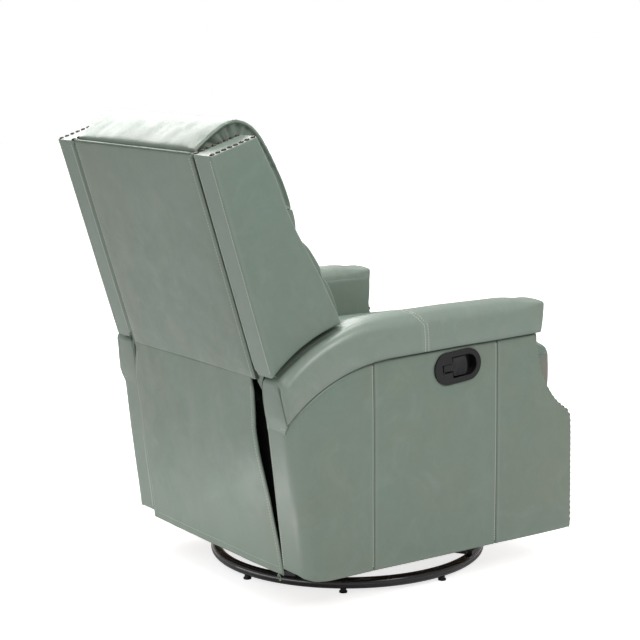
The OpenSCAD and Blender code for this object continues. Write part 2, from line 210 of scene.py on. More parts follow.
def plastic_black():
    mat, t, b, co = tree("moulded_black_plastic")
    v = n_noise(t, co, 45, 4, 0.6)
    t.links.new(n_mix(t, v, (0.0028, 0.0028, 0.0032), (0.0062, 0.0062, 0.0068)), b.inputs["Base Color"])
    t.links.new(n_range(t, n_noise(t, co, 90, 3, 0.6), 0.3, 0.7, 0.36, 0.50), b.inputs["Roughness"])
    t.links.new(n_bump(t, n_voronoi(t, co, 1900), 0.18, 0.00018), b.inputs["Normal"])
    return mat


def zinc():
    mat, t, b, co = tree("zinc_plated_steel")
    v = n_noise(t, co, 30, 5, 0.6)
    t.links.new(n_mix(t, v, (0.50, 0.50, 0.50), (0.66, 0.65, 0.62)), b.inputs["Base Color"])
    b.inputs["Metallic"].default_value = 1.0
    t.links.new(n_range(t, n_noise(t, co, 180, 4, 0.65, 0, (1, 0.15, 1)), 0.3, 0.7, 0.26, 0.46), b.inputs["Roughness"])
    t.links.new(n_bump(t, n_noise(t, co, 420, 2, 0.5), 0.08, 0.0002), b.inputs["Normal"])
    return mat


def plywood():
    mat, t, b, co = tree("frame_wood")
    w = t.nodes.new("ShaderNodeTexWave")
    w.wave_type = "BANDS"
    w.bands_direction = "Z"
    w.inputs["Scale"].default_value = 16
    w.inputs["Distortion"].default_value = 7
    w.inputs["Detail"].default_value = 4
    mp = t.nodes.new("ShaderNodeMapping")
    mp.inputs["Scale"].default_value = (1.0, 0.12, 1.0)
    t.links.new(co, mp.inputs[0])
    t.links.new(mp.outputs[0], w.inputs["Vector"])
    v = n_noise(t, co, 5, 4, 0.6)
    col = n_mix(t, w.outputs["Fac"], (0.56, 0.39, 0.22), (0.68, 0.51, 0.31))
    col = n_mix(t, n_math(t, "MULTIPLY", v, 0.4), col, (0.42, 0.28, 0.15))
    t.links.new(col, b.inputs["Base Color"])
    t.links.new(n_range(t, v, 0.3, 0.7, 0.55, 0.72), b.inputs["Roughness"])
    t.links.new(n_bump(t, w.outputs["Fac"], 0.15, 0.0006), b.inputs["Normal"])
    return mat


def bronze():
    mat, t, b, co = tree("antique_bronze")
    v = n_range(t, n_noise(t, co, 300, 4, 0.6), 0.35, 0.65, 0, 1)
    t.links.new(n_mix(t, v, (0.020, 0.015, 0.012), (0.105, 0.078, 0.060)), b.inputs["Base Color"])
    b.inputs["Metallic"].default_value = 0.9
    t.links.new(n_range(t, v, 0, 1, 0.24, 0.46), b.inputs["Roughness"])
    t.links.new(n_bump(t, n_noise(t, co, 900, 2, 0.5), 0.2, 0.0002), b.inputs["Normal"])
    return mat


def thread():
    mat, t, b, co = tree("pale_thread")
    v = n_noise(t, co, 500, 3, 0.6)
    t.links.new(n_mix(t, v, (0.50, 0.53, 0.46), (0.66, 0.68, 0.60)), b.inputs["Base Color"])
    t.links.new(n_range(t, v, 0.3, 0.7, 0.5, 0.7), b.inputs["Roughness"])
    t.links.new(n_bump(t, n_noise(t, co, 2500, 2, 0.5), 0.3, 0.0002), b.inputs["Normal"])
    return mat


def underlining():
    mat, t, b, co = tree("black_lining")
    v = n_noise(t, co, 200, 4, 0.7)
    t.links.new(n_mix(t, v, (0.006, 0.006, 0.006), (0.022, 0.022, 0.022)), b.inputs["Base Color"])
    b.inputs["Roughness"].default_value = 0.9
    t.links.new(n_bump(t, n_voronoi(t, co, 900), 0.4, 0.0005), b.inputs["Normal"])
    return mat


M_SIDE = leather("leather_side", seed=0.0)
M_BACK = leather("leather_back", (0.166, 0.225, 0.178), (0.186, 0.216, 0.162), seed=3.1)
M_WING = leather("leather_wing", brown=(0.177, 0.218, 0.172), seed=7.7)
# The arm pads get a lighter copy of the leather: painted light for the top light their upward-facing outer faces catch.
M_PAD_LIT = leather("leather_pad_lit", (0.205, 0.268, 0.225), (0.220, 0.252, 0.206), (0.284, 0.338, 0.294), 12.4)
M_SEAT = leather("leather_seat", seed=21.9)
M_BLACK, M_PLASTIC, M_ZINC, M_WOOD = paint_black(), plastic_black(), zinc(), plywood()
M_NAIL, M_THREAD, M_LINING = bronze(), thread(), underlining()


# ------------------------------------------------------------------ mesh helpers
def W(P):
    """Swivel-centred millimetres to the row frame in metres."""
    return (np.asarray(P, float) + np.array([0, YM, 0])) * 0.001


def make(name, V, F, mat, body, smooth=True):
    me = bpy.data.meshes.new(name)
    me.from_pydata(np.asarray(V).tolist(), [], [tuple(int(i) for i in f) for f in F])
    me.validate()
    bm = bmesh.new()
    bm.from_mesh(me)
    bmesh.ops.recalc_face_normals(bm, faces=bm.faces)
    bm.to_mesh(me)
    bm.free()
    if smooth:
        me.polygons.foreach_set("use_smooth", [True] * len(me.polygons))
    me.materials.append(mat)
    o = bpy.data.objects.new(name, me)
    SCN.collection.objects.link(o)
    if body:
        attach(o, body)
    return o


def subdiv(o, n=1):
    md = o.modifiers.new("subdivision", "SUBSURF")
    md.levels = md.render_levels = n
    return o


def paint(o, name, values):
    a = o.data.attributes.new(name, "FLOAT", "POINT")
    a.data.foreach_set("value", np.asarray(values, np.float32))


def fbm(P, scale, octaves=3, seed=0.0):
    """Smooth noise in about -1..1 at points in millimetres; scale is the wavelength."""
    off = Vector((seed * 13.7, seed * 7.1, seed * 3.3))
    return np.array([noise.fractal(Vector(p) / scale + off, 0.9, 2.0, octaves) for p in np.asarray(P).reshape(-1, 3)]).reshape(np.asarray(P).shape[:-1])


def arclen(P):
    d = np.linalg.norm(np.diff(P, axis=0), axis=1)
    return np.concatenate([[0], np.cumsum(d)])


def at(P, s):
    """Points at the given arc lengths (0..1) along a polyline."""
    P = np.asarray(P, float)
    L = arclen(P)
    q = np.asarray(s, float) * L[-1]
    return np.stack([np.interp(q, L, P[:, k]) for k in range(P.shape[1])], -1)


def spl(P, n):
    """Catmull-Rom curve through P, n points evenly spaced."""
    P = np.asarray(P, float)
    Q = np.vstack([2 * P[0] - P[1], P, 2 * P[-1] - P[-2]])
    out = []
    for i in range(1, len(Q) - 2):
        for t in np.linspace(0, 1, 12, endpoint=False):
            a, b, c, d = Q[i - 1], Q[i], Q[i + 1], Q[i + 2]
            out.append(0.5 * (2 * b + (c - a) * t + (2 * a - 5 * b + 4 * c - d) * t * t + (3 * b - a - 3 * c + d) * t ** 3))
    out.append(P[-1])
    return at(np.array(out), np.linspace(0, 1, n))


def arc2(c, r, a, b, n):
    t = np.radians(np.linspace(a, b, n))
    return np.stack([c[0] + r * np.cos(t), c[1] + r * np.sin(t)], -1)


def coons(L, R, B, T, us, vs):
    """Four-sided patch. L and R run bottom to top, B and T run left to right."""
    l, r, b, t = at(L, vs), at(R, vs), at(B, us), at(T, us)
    u, v = us[:, None, None], vs[None, :, None]
    return ((1 - u) * l[None] + u * r[None] + (1 - v) * b[:, None] + v * t[:, None]
            - ((1 - u) * (1 - v) * l[0] + u * (1 - v) * r[0] + (1 - u) * v * l[-1] + u * v * r[-1]))


def steps(length, step, r0=0.0, r1=0.0, extra=()):
    """Positions 0..1 over a length, closer together over the rounding radii at both ends and at extra marks."""
    s = []
    k = 4
    if r0 > 0:
        s += [r0 * (1 - math.cos(math.pi / 2 * i / k)) for i in range(k)]
    if r1 > 0:
        s += [length - r1 * (1 - math.cos(math.pi / 2 * i / k)) for i in range(k)]
    a, b = r0, length - r1
    n = max(2, int(round((b - a) / step)))
    s += list(np.linspace(a, b, n + 1))
    for e in extra:
        s = [x for x in s if abs(x - e) > 6.5] + [e - 5.5, e - 2.6, e, e + 2.6, e + 5.5]
    s = sorted(x for x in s if -1e-9 <= x <= length + 1e-9)
    out = [s[0]]
    for x in s[1:]:
        if x - out[-1] > 0.35:
            out.append(x)
    out[0], out[-1] = 0, length
    return np.array(out) / length


def drop(d, r):
    """How far a rounded edge of radius r falls away at distance d from the edge, as a share of 1 (for combining)."""
    return np.clip(1 - d / max(r, 1e-6), 0, 1)


def edge_drop(dl, dr, db, dt, r):
    """Rounded slab edges: r is (left, right, bottom, top)."""
    a = [drop(dl, r[0]), drop(dr, r[1]), drop(db, r[2]), drop(dt, r[3])]
    rr = np.array(r, float)
    st = np.stack(a)
    s = np.sqrt((st ** 2).sum(0))
    w = st.sum(0)
    rm = np.where(w > 0, (st * rr[:, None, None]).sum(0) / np.maximum(w, 1e-9), 0)
    return rm * (1 - np.sqrt(np.clip(1 - np.minimum(s, 1) ** 2, 0, 1)))


def closed(name, top, bot, mat, body, k=2, hole=None):
    """A closed skin from an outer grid and an inner grid (nu, nv, 3) in millimetres."""
    nu, nv = top.shape[:2]
    N = nu * nv
    idx = np.arange(N).reshape(nu, nv)
    V = [top.reshape(-1, 3), bot.reshape(-1, 3)]
    F = []
    keep = np.ones((nu - 1, nv - 1), bool) if hole is None else ~hole
    for i in range(nu - 1):
        for j in range(nv - 1):
            if keep[i, j]:
                a, b, c, d = idx[i, j], idx[i + 1, j], idx[i + 1, j + 1], idx[i, j + 1]
                F.append((a, b, c, d))
                F.append((d + N, c + N, b + N, a + N))
    loop = np.concatenate([idx[:-1, 0], idx[-1, :-1], idx[1:, -1][::-1], idx[0, 1:][::-1]])
    rows = [loop]
    base = 2 * N
    for q in range(1, k):
        w = q / k
        V.append((1 - w) * V[0][loop] + w * V[1][loop])
        rows.append(np.arange(base, base + len(loop)))
        base += len(loop)
    rows.append(loop + N)
    n = len(loop)
    for a, b in zip(rows[:-1], rows[1:]):
        for i in range(n):
            j = (i + 1) % n
            F.append((a[i], b[i], b[j], a[j]))
    if hole is not None:
        for i in range(nu - 1):
            for j in range(nv - 1):
                if not hole[i, j]:
                    continue
                for (di, dj, p, q) in ((-1, 0, (i, j), (i, j + 1)), (1, 0, (i + 1, j + 1), (i + 1, j)), (0, -1, (i + 1, j), (i, j)), (0, 1, (i, j + 1), (i + 1, j + 1))):
                    if not hole[i + di, j + dj]:
                        a, b = idx[p], idx[q]
                        F.append((a, b, b + N, a + N))
        used = np.zeros(base, bool)
        used[np.array([x for f in F for x in f])] = True
        new = np.cumsum(used) - 1
        V = [np.vstack(V)[used]]
        F = [tuple(new[list(f)]) for f in F]
        o = make(name, W(np.vstack(V)), F, mat, body)
        o["keep_mask"] = 0
        return o
    return make(name, W(np.vstack(V)), F, mat, body)


def normals(S):
    du = np.gradient(S, axis=0)
    dv = np.gradient(S, axis=1)
    n = np.cross(du, dv)
    return n / np.maximum(np.linalg.norm(n, axis=-1, keepdims=True), 1e-9)


def loft(name, S, mat, body, close0=True, close1=True):
    """A closed skin through rings S (n, m, 3) in millimetres; the first and last ring are filled to their middle."""
    n, mm = S.shape[:2]
    V = S.reshape(-1, 3)
    F = []
    for i in range(n - 1):
        for j in range(mm):
            q = (j + 1) % mm
            F.append((i * mm + j, (i + 1) * mm + j, (i + 1) * mm + q, i * mm + q))
    extra = []
    for end, ring in ((close0, 0), (close1, n - 1)):
        if end:
            c = len(V) + len(extra)
            extra.append(S[ring].mean(0))
            for j in range(mm):
                q = (j + 1) % mm
                F.append((c, ring * mm + j, ring * mm + q) if ring else (c, ring * mm + q, ring * mm + j))
    if extra:
        V = np.vstack([V, extra])
    return make(name, W(V), F, mat, body)


def tube(name, P, r, mat, body, sides=8, closed_ends=True, local=True):
    """A round welt or cord along a polyline in millimetres."""
    P = np.asarray(P, float)
    n = len(P)
    T = np.gradient(P, axis=0)
    T /= np.linalg.norm(T, axis=1, keepdims=True)
    ref = np.array([0.13, 0.31, 0.94])
    U = np.zeros_like(P)
    for i in range(n):
        u = ref - T[i] * (ref @ T[i])
        if np.linalg.norm(u) < 0.2:
            u = np.array([1.0, 0, 0]) - T[i] * T[i][0]
        U[i] = u / np.linalg.norm(u)
        ref = U[i]
    Bn = np.cross(T, U)
    rr = np.full(n, r) if np.isscalar(r) else np.asarray(r)
    a = np.arange(sides) * 2 * math.pi / sides
    S = P[:, None] + rr[:, None, None] * (U[:, None] * np.cos(a)[None, :, None] + Bn[:, None] * np.sin(a)[None, :, None])
    return loft(name, S, mat, body)


def tree_of(o):
    dg = bpy.context.evaluated_depsgraph_get()
    dg.update()
    e = o.evaluated_get(dg)
    me = e.to_mesh()
    vs = [e.matrix_world @ v.co for v in me.vertices]
    b = BVHTree.FromPolygons(vs, [tuple(p.vertices) for p in me.polygons])
    e.to_mesh_clear()
    return b


def hug(b, P, way, lift=0.35, reach=40):
    """Puts a path (millimetres) onto a surface, seen along way. Returns the points and the surface's normals."""
    way = Vector(way).normalized()
    out, nn = [], []
    for p in np.asarray(P, float):
        w = Vector(W(p))
        hit, nor, _, _ = b.ray_cast(w - way * reach * 0.001, way, reach * 0.002)
        if hit is None:
            hit, nor, _, _ = b.find_nearest(w)
        if nor.dot(way) > 0:
            nor = -nor
        hit = hit + nor * lift * 0.001
        out.append([hit.x * 1000, hit.y * 1000 - YM, hit.z * 1000])
        nn.append(list(nor))
    return np.array(out), np.array(nn)


def stitch_verts(P, N, pitch=7.0, length=4.8, r=0.55, wide=1.0):
    """Small sunken stitches along a path: returns vertices and faces in millimetres."""
    L = arclen(P)
    V, F = [], []
    count = int(L[-1] / pitch)
    prof = [(-0.5, 0.25, -0.5), (-0.3, 0.85, -0.05), (0.0, 1.0, 0.12), (0.3, 0.85, -0.05), (0.5, 0.25, -0.5)]
    for i in range(count):
        s = (i + 0.5) * pitch + (L[-1] - count * pitch) / 2
        p = np.array([np.interp(s, L, P[:, k]) for k in range(3)])
        q = np.array([np.interp(s + 0.6, L, P[:, k]) for k in range(3)])
        q0 = np.array([np.interp(s - 0.6, L, P[:, k]) for k in range(3)])
        n = np.array([np.interp(s, L, N[:, k]) for k in range(3)])
        t = (q - q0) / max(np.linalg.norm(q - q0), 1e-9)
        n = n - t * (n @ t)
        n /= max(np.linalg.norm(n), 1e-9)
        b = np.cross(t, n)
        k0 = len(V)
        for (x, w, h) in prof:
            c = p + t * x * length + n * h * r * 1.6
            for a in range(6):
                g = a * math.pi / 3
                V.append(c + (b * math.cos(g) * wide + n * math.sin(g)) * r * w)
        for j in range(len(prof) - 1):
            for a in range(6):
                a2 = (a + 1) % 6
                F.append((k0 + j * 6 + a, k0 + (j + 1) * 6 + a, k0 + (j + 1) * 6 + a2, k0 + j * 6 + a2))
        F.append(tuple(k0 + a for a in range(6)))
        F.append(tuple(k0 + 6 * (len(prof) - 1) + a for a in reversed(range(6))))
    return V, F


def stitches(name, rows, body, pitch=7.0, length=4.8, r=0.55, mat=None):
    V, F = [], []
    for P, N in rows:
        v, f = stitch_verts(P, N, pitch, length, r)
        F += [tuple(i + len(V) for i in g) for g in f]
        V += v
    return make(name, W(np.array(V)), F, mat or M_THREAD, body)


def inflate(o, pressure=4.0, cap=25.0, pin=None, frames=20, shrink=-0.015, stiff=12.0, bend=0.6, mass=0.3):
    """Cloth simulation of a stuffed cover: pin is a weight per vertex, cap the furthest a point may move in mm."""
    me = o.data
    rest = np.array([v.co for v in me.vertices], float)
    g = o.vertex_groups.new(name="pin")
    if pin is not None:
        for i, w in enumerate(pin):
            if w > 0.001:
                g.add([i], float(min(1, w)), "REPLACE")
    md = o.modifiers.new("cloth", "CLOTH")
    s = md.settings
    s.quality = 6
    s.mass = mass
    s.tension_stiffness = s.compression_stiffness = stiff
    s.shear_stiffness = stiff * 0.5
    s.bending_stiffness = bend
    s.use_pressure = True
    s.uniform_pressure_force = pressure
    s.effector_weights.gravity = 0
    s.shrink_min = shrink
    if pin is not None:
        s.vertex_group_mass = "pin"
    md.point_cache.frame_start, md.point_cache.frame_end = 1, frames
    md.collision_settings.use_collision = False
    for f in range(1, frames + 1):
        SCN.frame_set(f)
    dg = bpy.context.evaluated_depsgraph_get()
    e = o.evaluated_get(dg)
    em = e.to_mesh()
    new = np.array([v.co for v in em.vertices], float)
    e.to_mesh_clear()
    o.modifiers.remove(md)
    o.vertex_groups.remove(g)
    SCN.frame_set(1)
    d = new - rest
    L = np.linalg.norm(d, axis=1, keepdims=True)
    c = cap * 0.001
    d *= np.where(L > 1e-9, c * np.tanh(L / c) / np.maximum(L, 1e-9), 1)
    me.vertices.foreach_set("co", (rest + d).ravel())
    me.update()
    return o


def smooth_mesh(o, times=1, factor=0.5, weight=None):
    """Evens out a mesh by moving each vertex toward its neighbours' middle."""
    me = o.data
    n = len(me.vertices)
    E = np.array([e.vertices[:] for e in me.edges])
    co = np.array([v.co for v in me.vertices], float)
    deg = np.bincount(E.ravel(), minlength=n)[:, None]
    w = factor if weight is None else factor * np.asarray(weight)[:, None]
    for _ in range(times):
        acc = np.zeros_like(co)
        np.add.at(acc, E[:, 0], co[E[:, 1]])
        np.add.at(acc, E[:, 1], co[E[:, 0]])
        co += w * (acc / np.maximum(deg, 1) - co)
    me.vertices.foreach_set("co", co.ravel())
    me.update()


# ------------------------------------------------------------------ shared outlines (mm, swivel-centred [y, z])
RC = np.array([162.0, 264.0])
FRONT = np.array([[-262, 540], [-262, 521], [-267, 490], [-275, 458], [-288, 428], [-304, 402], [-322, 380],
                  [-343, 362], [-357, 353], [-365, 341], [-367.5, 326], [-369.5, 214], [-372, 77]], float)
SEAM1, SEAM2 = -148.0, 184.0
RCORN = 26.0
POST_IN = 273.0


def rear_y(z):
    return 358.6 + 0.1118 * (z - 96)


def seam_z(y):
    """Height of the pad's lower seam at y."""
    y = np.asarray(y, float)
    flat = 530 + (129 - y) * (540 - 530) / (129 + 262)
    with np.errstate(invalid="ignore"):
        a = 150 + np.sqrt(np.maximum(380.0 ** 2 - (y - 129) ** 2, 0))
    return np.where(y < 129, flat, a)


def front_line(n=60):
    """Front edge from the hem up to the pad, a smooth run."""
    low = FRONT[::-1]
    P = np.vstack([[low[0]], spl(low[1:], 80)])
    return at(P, np.linspace(0, 1, n))


HZ = 77.0     # hem height


def bezel_out(y, z):
    """Signed distance (mm) outside the handle's 117 x 62 outline, negative inside."""
    a = math.radians(-4.5)
    dy, dz = y + 38, z - 490.5
    p = dy * math.cos(a) + dz * math.sin(a)
    q = -dy * math.sin(a) + dz * math.cos(a)
    p = np.abs(p) - 27.5
    return np.where(p > 0, np.hypot(np.maximum(p, 0), q), np.abs(q)) - 31.0


def round_low(S, R=9.0):
    """Rounds the lower front corner of the arm."""
    dy, dz = S[..., 1] + 372, S[..., 2] - HZ
    out = np.maximum(-dy, 0)
    vy, vz = R - dy, R - dz
    r = np.hypot(vy, vz)
    f = np.where((dy < R) & (dz < R) & (r > R + out), (R + out) / np.maximum(r, 1e-6), 1.0)
    S[..., 1] = -372 + R - vy * f
    S[..., 2] = HZ + R - vz * f


def grooves(y, marks, deep=3.2, wide=1.7, ridge=1.3):
    h = np.zeros_like(y)
    for s in marks:
        d = np.abs(y - s)
        h += -deep * np.exp(-(d / wide) ** 2) + ridge * np.exp(-((d - 4.2) / 2.6) ** 2)
    return h


# ------------------------------------------------------------------ arm outer covers
def outer_cover(side, body="chassis"):
    name = "arm_outer_cover_left" if side > 0 else "arm_outer_cover_right"
    vs = steps(450, 9.0, 5, 6)
    # three sewn panels on the side
    F = front_line(80)
    zR = lambda y: float(seam_z(y))
    cols, tags = [], []
    yr0 = lambda z: rear_y(z) - RCORN
    zt = 444.9

    def vline(y, z0, z1):
        return np.array([[y, z0], [y, (z0 + z1) / 2], [y, z1]])
    # panel a: front edge to seam 1
    La, Ra = F, vline(SEAM1, HZ, zR(SEAM1))
    Ba = np.array([[-372, HZ], [SEAM1, HZ]])
    Ta = np.array([[-262, 540], [SEAM1, zR(SEAM1)]])
    usa = steps(224, 10, 4, 0)
    usa = np.unique(np.round(np.concatenate([usa[usa < 1 - 9 / 224], 1 - np.array([6.4, 4.2, 2.2, 0]) / 224]), 6))
    A = coons(La, Ra, Ba, Ta, usa, vs)
    # panel b
    Tb = np.array([[y, zR(y)] for y in np.linspace(SEAM1, SEAM2, 60)])
    Bb = np.array([[SEAM1, HZ], [SEAM2, HZ]])
    e = np.array([0, 2.2, 4.2, 6.4]) / (SEAM2 - SEAM1)
    mid = np.linspace(13 / 332, 1 - 13 / 332, 32)
    usb = np.concatenate([e, mid, (1 - e)[::-1]])
    B = coons(vline(SEAM1, HZ, zR(SEAM1)), vline(SEAM2, HZ, zR(SEAM2)), Bb, Tb, usb, vs)
    # panel c: seam 2 to the rear corner
    ztop_y = 129 + 380 * math.cos(math.asin((zt - 150) / 380))
    Tc = np.array([[y, zR(y)] for y in np.linspace(SEAM2, ztop_y, 50)])
    zz = np.linspace(HZ + 4, zt, 30)
    Rc = np.stack([yr0(zz) + (ztop_y - yr0(zt)) * (zz - HZ) / (zt - HZ), zz], -1)
    Bc = np.array([[SEAM2, HZ], [Rc[0][0] - 30, HZ], [Rc[0][0], HZ + 4]])
    Lc = vline(SEAM2, HZ, zR(SEAM2))
    usc = np.concatenate([e * 332 / 160, np.linspace(0.09, 1, 17)])
    Cc = coons(Lc, Rc, Bc, Tc, usc, vs)
    yz = np.concatenate([A, B[1:], Cc[1:]], 0)
    S = np.concatenate([np.full(yz.shape[:2] + (1,), 357.0), yz], -1)
    # wrap round the rear corner and across the post
    ph = np.radians(np.linspace(0, 90, 8)[1:])
    wrap = []
    for a in ph:
        f = a / (math.pi / 2)
        zb = HZ + 4 + 11 * f
        yend = 394.9 - (394.9 - ztop_y) * (1 - math.sin(a))
        ztop = float(seam_z(min(yend, 394.9)))
        z = zb + (ztop - zb) * vs
        y = rear_y(z) - RCORN * (1 - math.sin(a)) - 0.0
        wrap.append(np.stack([np.full_like(z, 357 - RCORN * (1 - math.cos(a))), y, z], -1))
    for x in np.concatenate([np.linspace(357 - RCORN, POST_IN + 5, 7)[1:], [POST_IN + 3, POST_IN + 1.2, POST_IN]]):
        z = HZ + 15 + (423.0 - HZ - 15) * vs
        wrap.append(np.stack([np.full_like(z, x), rear_y(z), z], -1))
    S = np.concatenate([S, np.array(wrap)], 0)
    N = normals(S)
    if N[5, 5, 0] < 0:
        N = -N
    nu, nv = S.shape[:2]
    y, z = S[..., 1], S[..., 2]
    path = np.zeros((nu, nv))
    path[1:] = np.cumsum(np.linalg.norm(np.diff(S, axis=0), axis=-1), 0)
    end = path[-1:] - path
    up = np.zeros((nu, nv))
    up[:, 1:] = np.cumsum(np.linalg.norm(np.diff(S, axis=1), axis=-1), 1)
    top = up[:, -1:] - up
    onside = (S[..., 0] > 356.9)
    puff = 1.6 * np.sin(np.pi * np.clip(up / up[:, -1:], 0, 1)) ** 0.7
    g = np.where(onside, grooves(y, (SEAM1, SEAM2)), 0)
    span = np.where(y < SEAM1, np.clip((y + 372) / 224, 0, 1), np.where(y < SEAM2, (y - SEAM1) / 332, np.clip((y - SEAM2) / 175, 0, 1)))
    bil = np.where(onside, 2.2 * np.sin(np.pi * np.clip(span, 0, 1)) ** 0.8, 0)
    nz = 0.9 * fbm(S, 170, 2, 1 + side) + 0.30 * fbm(S * np.array([1, 1, 0.35]), 42, 2, 4 + side)
    h = puff * (0.4 + 0.6 * onside) + g + bil + nz * np.clip(np.minimum(top, up) / 30, 0, 1)
    pressed = np.clip(bezel_out(y, z) / 26, 0, 1) if side < 0 else np.ones_like(y)
    pressed = pressed ** 0.8
    h = np.where(onside & (pressed < 1), h * pressed + 0.1, h)
    h = h - edge_drop(path, end, up, top, (3.5, 4, 4, 7))
    topg = S + N * h[..., None]
    bot = S - N * 7.0
    hole = None
    if side < 0:
        cy = 0.25 * (y[:-1, :-1] + y[1:, :-1] + y[:-1, 1:] + y[1:, 1:])
        cz = 0.25 * (z[:-1, :-1] + z[1:, :-1] + z[:-1, 1:] + z[1:, 1:])
        sd = 0.25 * (onside[:-1, :-1] * 1 + onside[1:, :-1] + onside[:-1, 1:] + onside[1:, 1:])
        hole = (bezel_out(cy, cz) < 0.5) & (sd > 0.9)
        near = np.zeros_like(onside)
        for di in (0, 1):
            for dj in (0, 1):
                near[di:nu - 1 + di, dj:nv - 1 + dj] |= hole
        inside = np.ones_like(onside)
        for di in (0, 1):
            for dj in (0, 1):
                inside[di:nu - 1 + di, dj:nv - 1 + dj] &= hole
        rim = near & ~inside
        a = math.radians(-4.5)
        for i, j in np.argwhere(rim):
            dy, dz = y[i, j] + 38, z[i, j] - 490.5
            p = dy * math.cos(a) + dz * math.sin(a)
            q = -dy * math.sin(a) + dz * math.cos(a)
            cx = max(-27.5, min(27.5, p))
            vx, vq = p - cx, q
            L = math.hypot(vx, vq) or 1
            p2, q2 = cx + vx / L * 31.6, vq / L * 31.6
            ny, nz2 = -38 + p2 * math.cos(a) - q2 * math.sin(a), 490.5 + p2 * math.sin(a) + q2 * math.cos(a)
            for G in (topg, bot):
                G[i, j, 1], G[i, j, 2] = ny, nz2
            topg[i, j, 0] = 357.2
    round_low(topg)
    round_low(bot)
    M = np.array([side, 1, 1])
    o = closed(name, topg * M, bot * M, M_SIDE, body, 2, hole)
    subdiv(o)
    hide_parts(name)
    # colour wear along seams and edges: the seam ridges lighter from rub and a painted highlight, the hem rubbed
    # lighter, and a painted highlight band over the rear corner and across the post
    co = np.array([v.co for v in o.data.vertices], float) * 1000 - np.array([0, YM, 0])
    yy = co[:, 1]
    rub_and_highlight = np.exp(-(np.minimum(np.abs(np.abs(yy - SEAM1) - 4.6), np.abs(np.abs(yy - SEAM2) - 4.6)) / 2.2) ** 2) * (np.abs(co[:, 0]) > 352)
    rub_and_highlight = np.maximum(rub_and_highlight * 0.9, 0.8 * np.exp(-((co[:, 2] - HZ) / 9) ** 2))
    rub_and_highlight = np.maximum(rub_and_highlight, 0.8 * np.clip((yy - rear_y(co[:, 2]) + 30) / 20, 0, 1) * (yy > 280))
    paint(o, "seam", np.clip(rub_and_highlight, 0, 1))
    # painted shade: a dark band on the cover along the pad's lower seam, under the pad's overhang, and dark lines in
    # the seam grooves
    topl = np.exp(-((co[:, 2] - seam_z(np.minimum(yy, 508))) / 3.0) ** 2) * (np.abs(co[:, 0]) > 345) * (yy < 385)
    paint(o, "crease", np.maximum(0.9 * topl, 0.9 * np.exp(-(np.minimum(np.abs(yy - SEAM1), np.abs(yy - SEAM2)) / 1.3) ** 2) * (np.abs(co[:, 0]) > 350)))
    b = tree_of(o)
    rows = []
    for s, ds in ((SEAM1, (3.4,)), (SEAM2, (3.2,))):
        for dd in ds:
            zz = np.linspace(HZ + 8, float(seam_z(s)) - 6, 150)
            P = np.stack([np.full_like(zz, 357 * side), np.full_like(zz, s + dd), zz], -1)
            rows.append(hug(b, P, (-side, 0, 0), 0.15))
    zz = np.linspace(HZ + 24, 415, 120)
    P = np.stack([np.full_like(zz, (POST_IN + 7) * side), rear_y(zz) + 8, zz], -1)
    rows.append(hug(b, P, (0, -1, 0), 0.15))
    stitches("side_stitching_left" if side > 0 else "side_stitching_right", rows, body, 5.4, 4.7, 1.05)
    return o


COVERS = {s: outer_cover(s) for s in (1, -1)}


# ------------------------------------------------------------------ inner arm covers
def inner_cover(side, body="chassis"):
    """The lining of the arm's inside, one soft panel up to the pad's top roll."""
    name = "arm_inner_cover_left" if side > 0 else "arm_inner_cover_right"
    F = at(front_line(80), np.linspace(0, 1, 60))
    F = F[F[:, 1] < 470] + np.array([5.0, 0])
    F = np.vstack([F, [[-266, 500], [-270, 530], [-271.5, 560], [-271, 592]]])
    tops = np.array([[y, 592.0] for y in np.linspace(-271, 162, 40)])
    T = np.vstack([tops, arc2(RC, 328, 90, 44.5, 34)[1:]])
    zz = np.linspace(95, T[-1][1], 20)
    R = np.stack([rear_y(zz) - 10, zz], -1)
    R[-1] = T[-1]
    B = np.array([F[0], [310, HZ + 1], R[0]])
    us, vs = steps(720, 14, 5, 5), steps(500, 14, 6, 10)
    yz = coons(F, R, B, T, us, vs)
    S = np.concatenate([np.full(yz.shape[:2] + (1,), 283.4), yz], -1)
    dl = us[:, None] * 720 * np.ones((1, len(vs)))
    db = vs[None, :] * 500 * np.ones((len(us), 1))
    h = 3.4 - edge_drop(dl, 720 - dl, db, 500 - db, (3, 3, 3, 9)) * 0.7
    h += 2.4 * (np.sin(np.pi * us[:, None]) * np.sin(np.pi * vs[None, :])) ** 0.5 + 0.5 * fbm(S, 120, 2, 9)
    h += 1.2 * np.clip((yz[..., 1] - 520) / 40, 0, 1)
    top = S - np.array([1, 0, 0]) * h[..., None]
    M = np.array([side, 1, 1])
    o = closed(name, top * M, S * M, M_SIDE, body, 1)
    subdiv(o)
    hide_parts(name)


for s in (1, -1):
    inner_cover(s)


# ------------------------------------------------------------------ arm front facings with nailheads
def dome_verts(p, n, r=5.2, h=2.6):
    n = n / np.linalg.norm(n)
    a = np.cross(n, [0.3, 0.2, 0.9])
    a /= np.linalg.norm(a)
    b = np.cross(n, a)
    V, F = [], []
    rings = [(1.0, -0.8), (1.04, 0.0), (0.99, 0.25), (0.86, 0.58), (0.62, 0.84), (0.32, 0.97)]
    k = 14
    for (rr, hh) in rings:
        for i in range(k):
            g = 2 * math.pi * i / k
            V.append(p + (a * math.cos(g) + b * math.sin(g)) * r * rr + n * h * hh)
    for j in range(len(rings) - 1):
        for i in range(k):
            q = (i + 1) % k
            F.append((j * k + i, j * k + q, (j + 1) * k + q, (j + 1) * k + i))
    V.append(p + n * h)
    t = len(V) - 1
    for i in range(k):
        F.append(((len(rings) - 1) * k + i, (len(rings) - 1) * k + (i + 1) % k, t))
    F.append(tuple(reversed(range(k))))
    return V, F


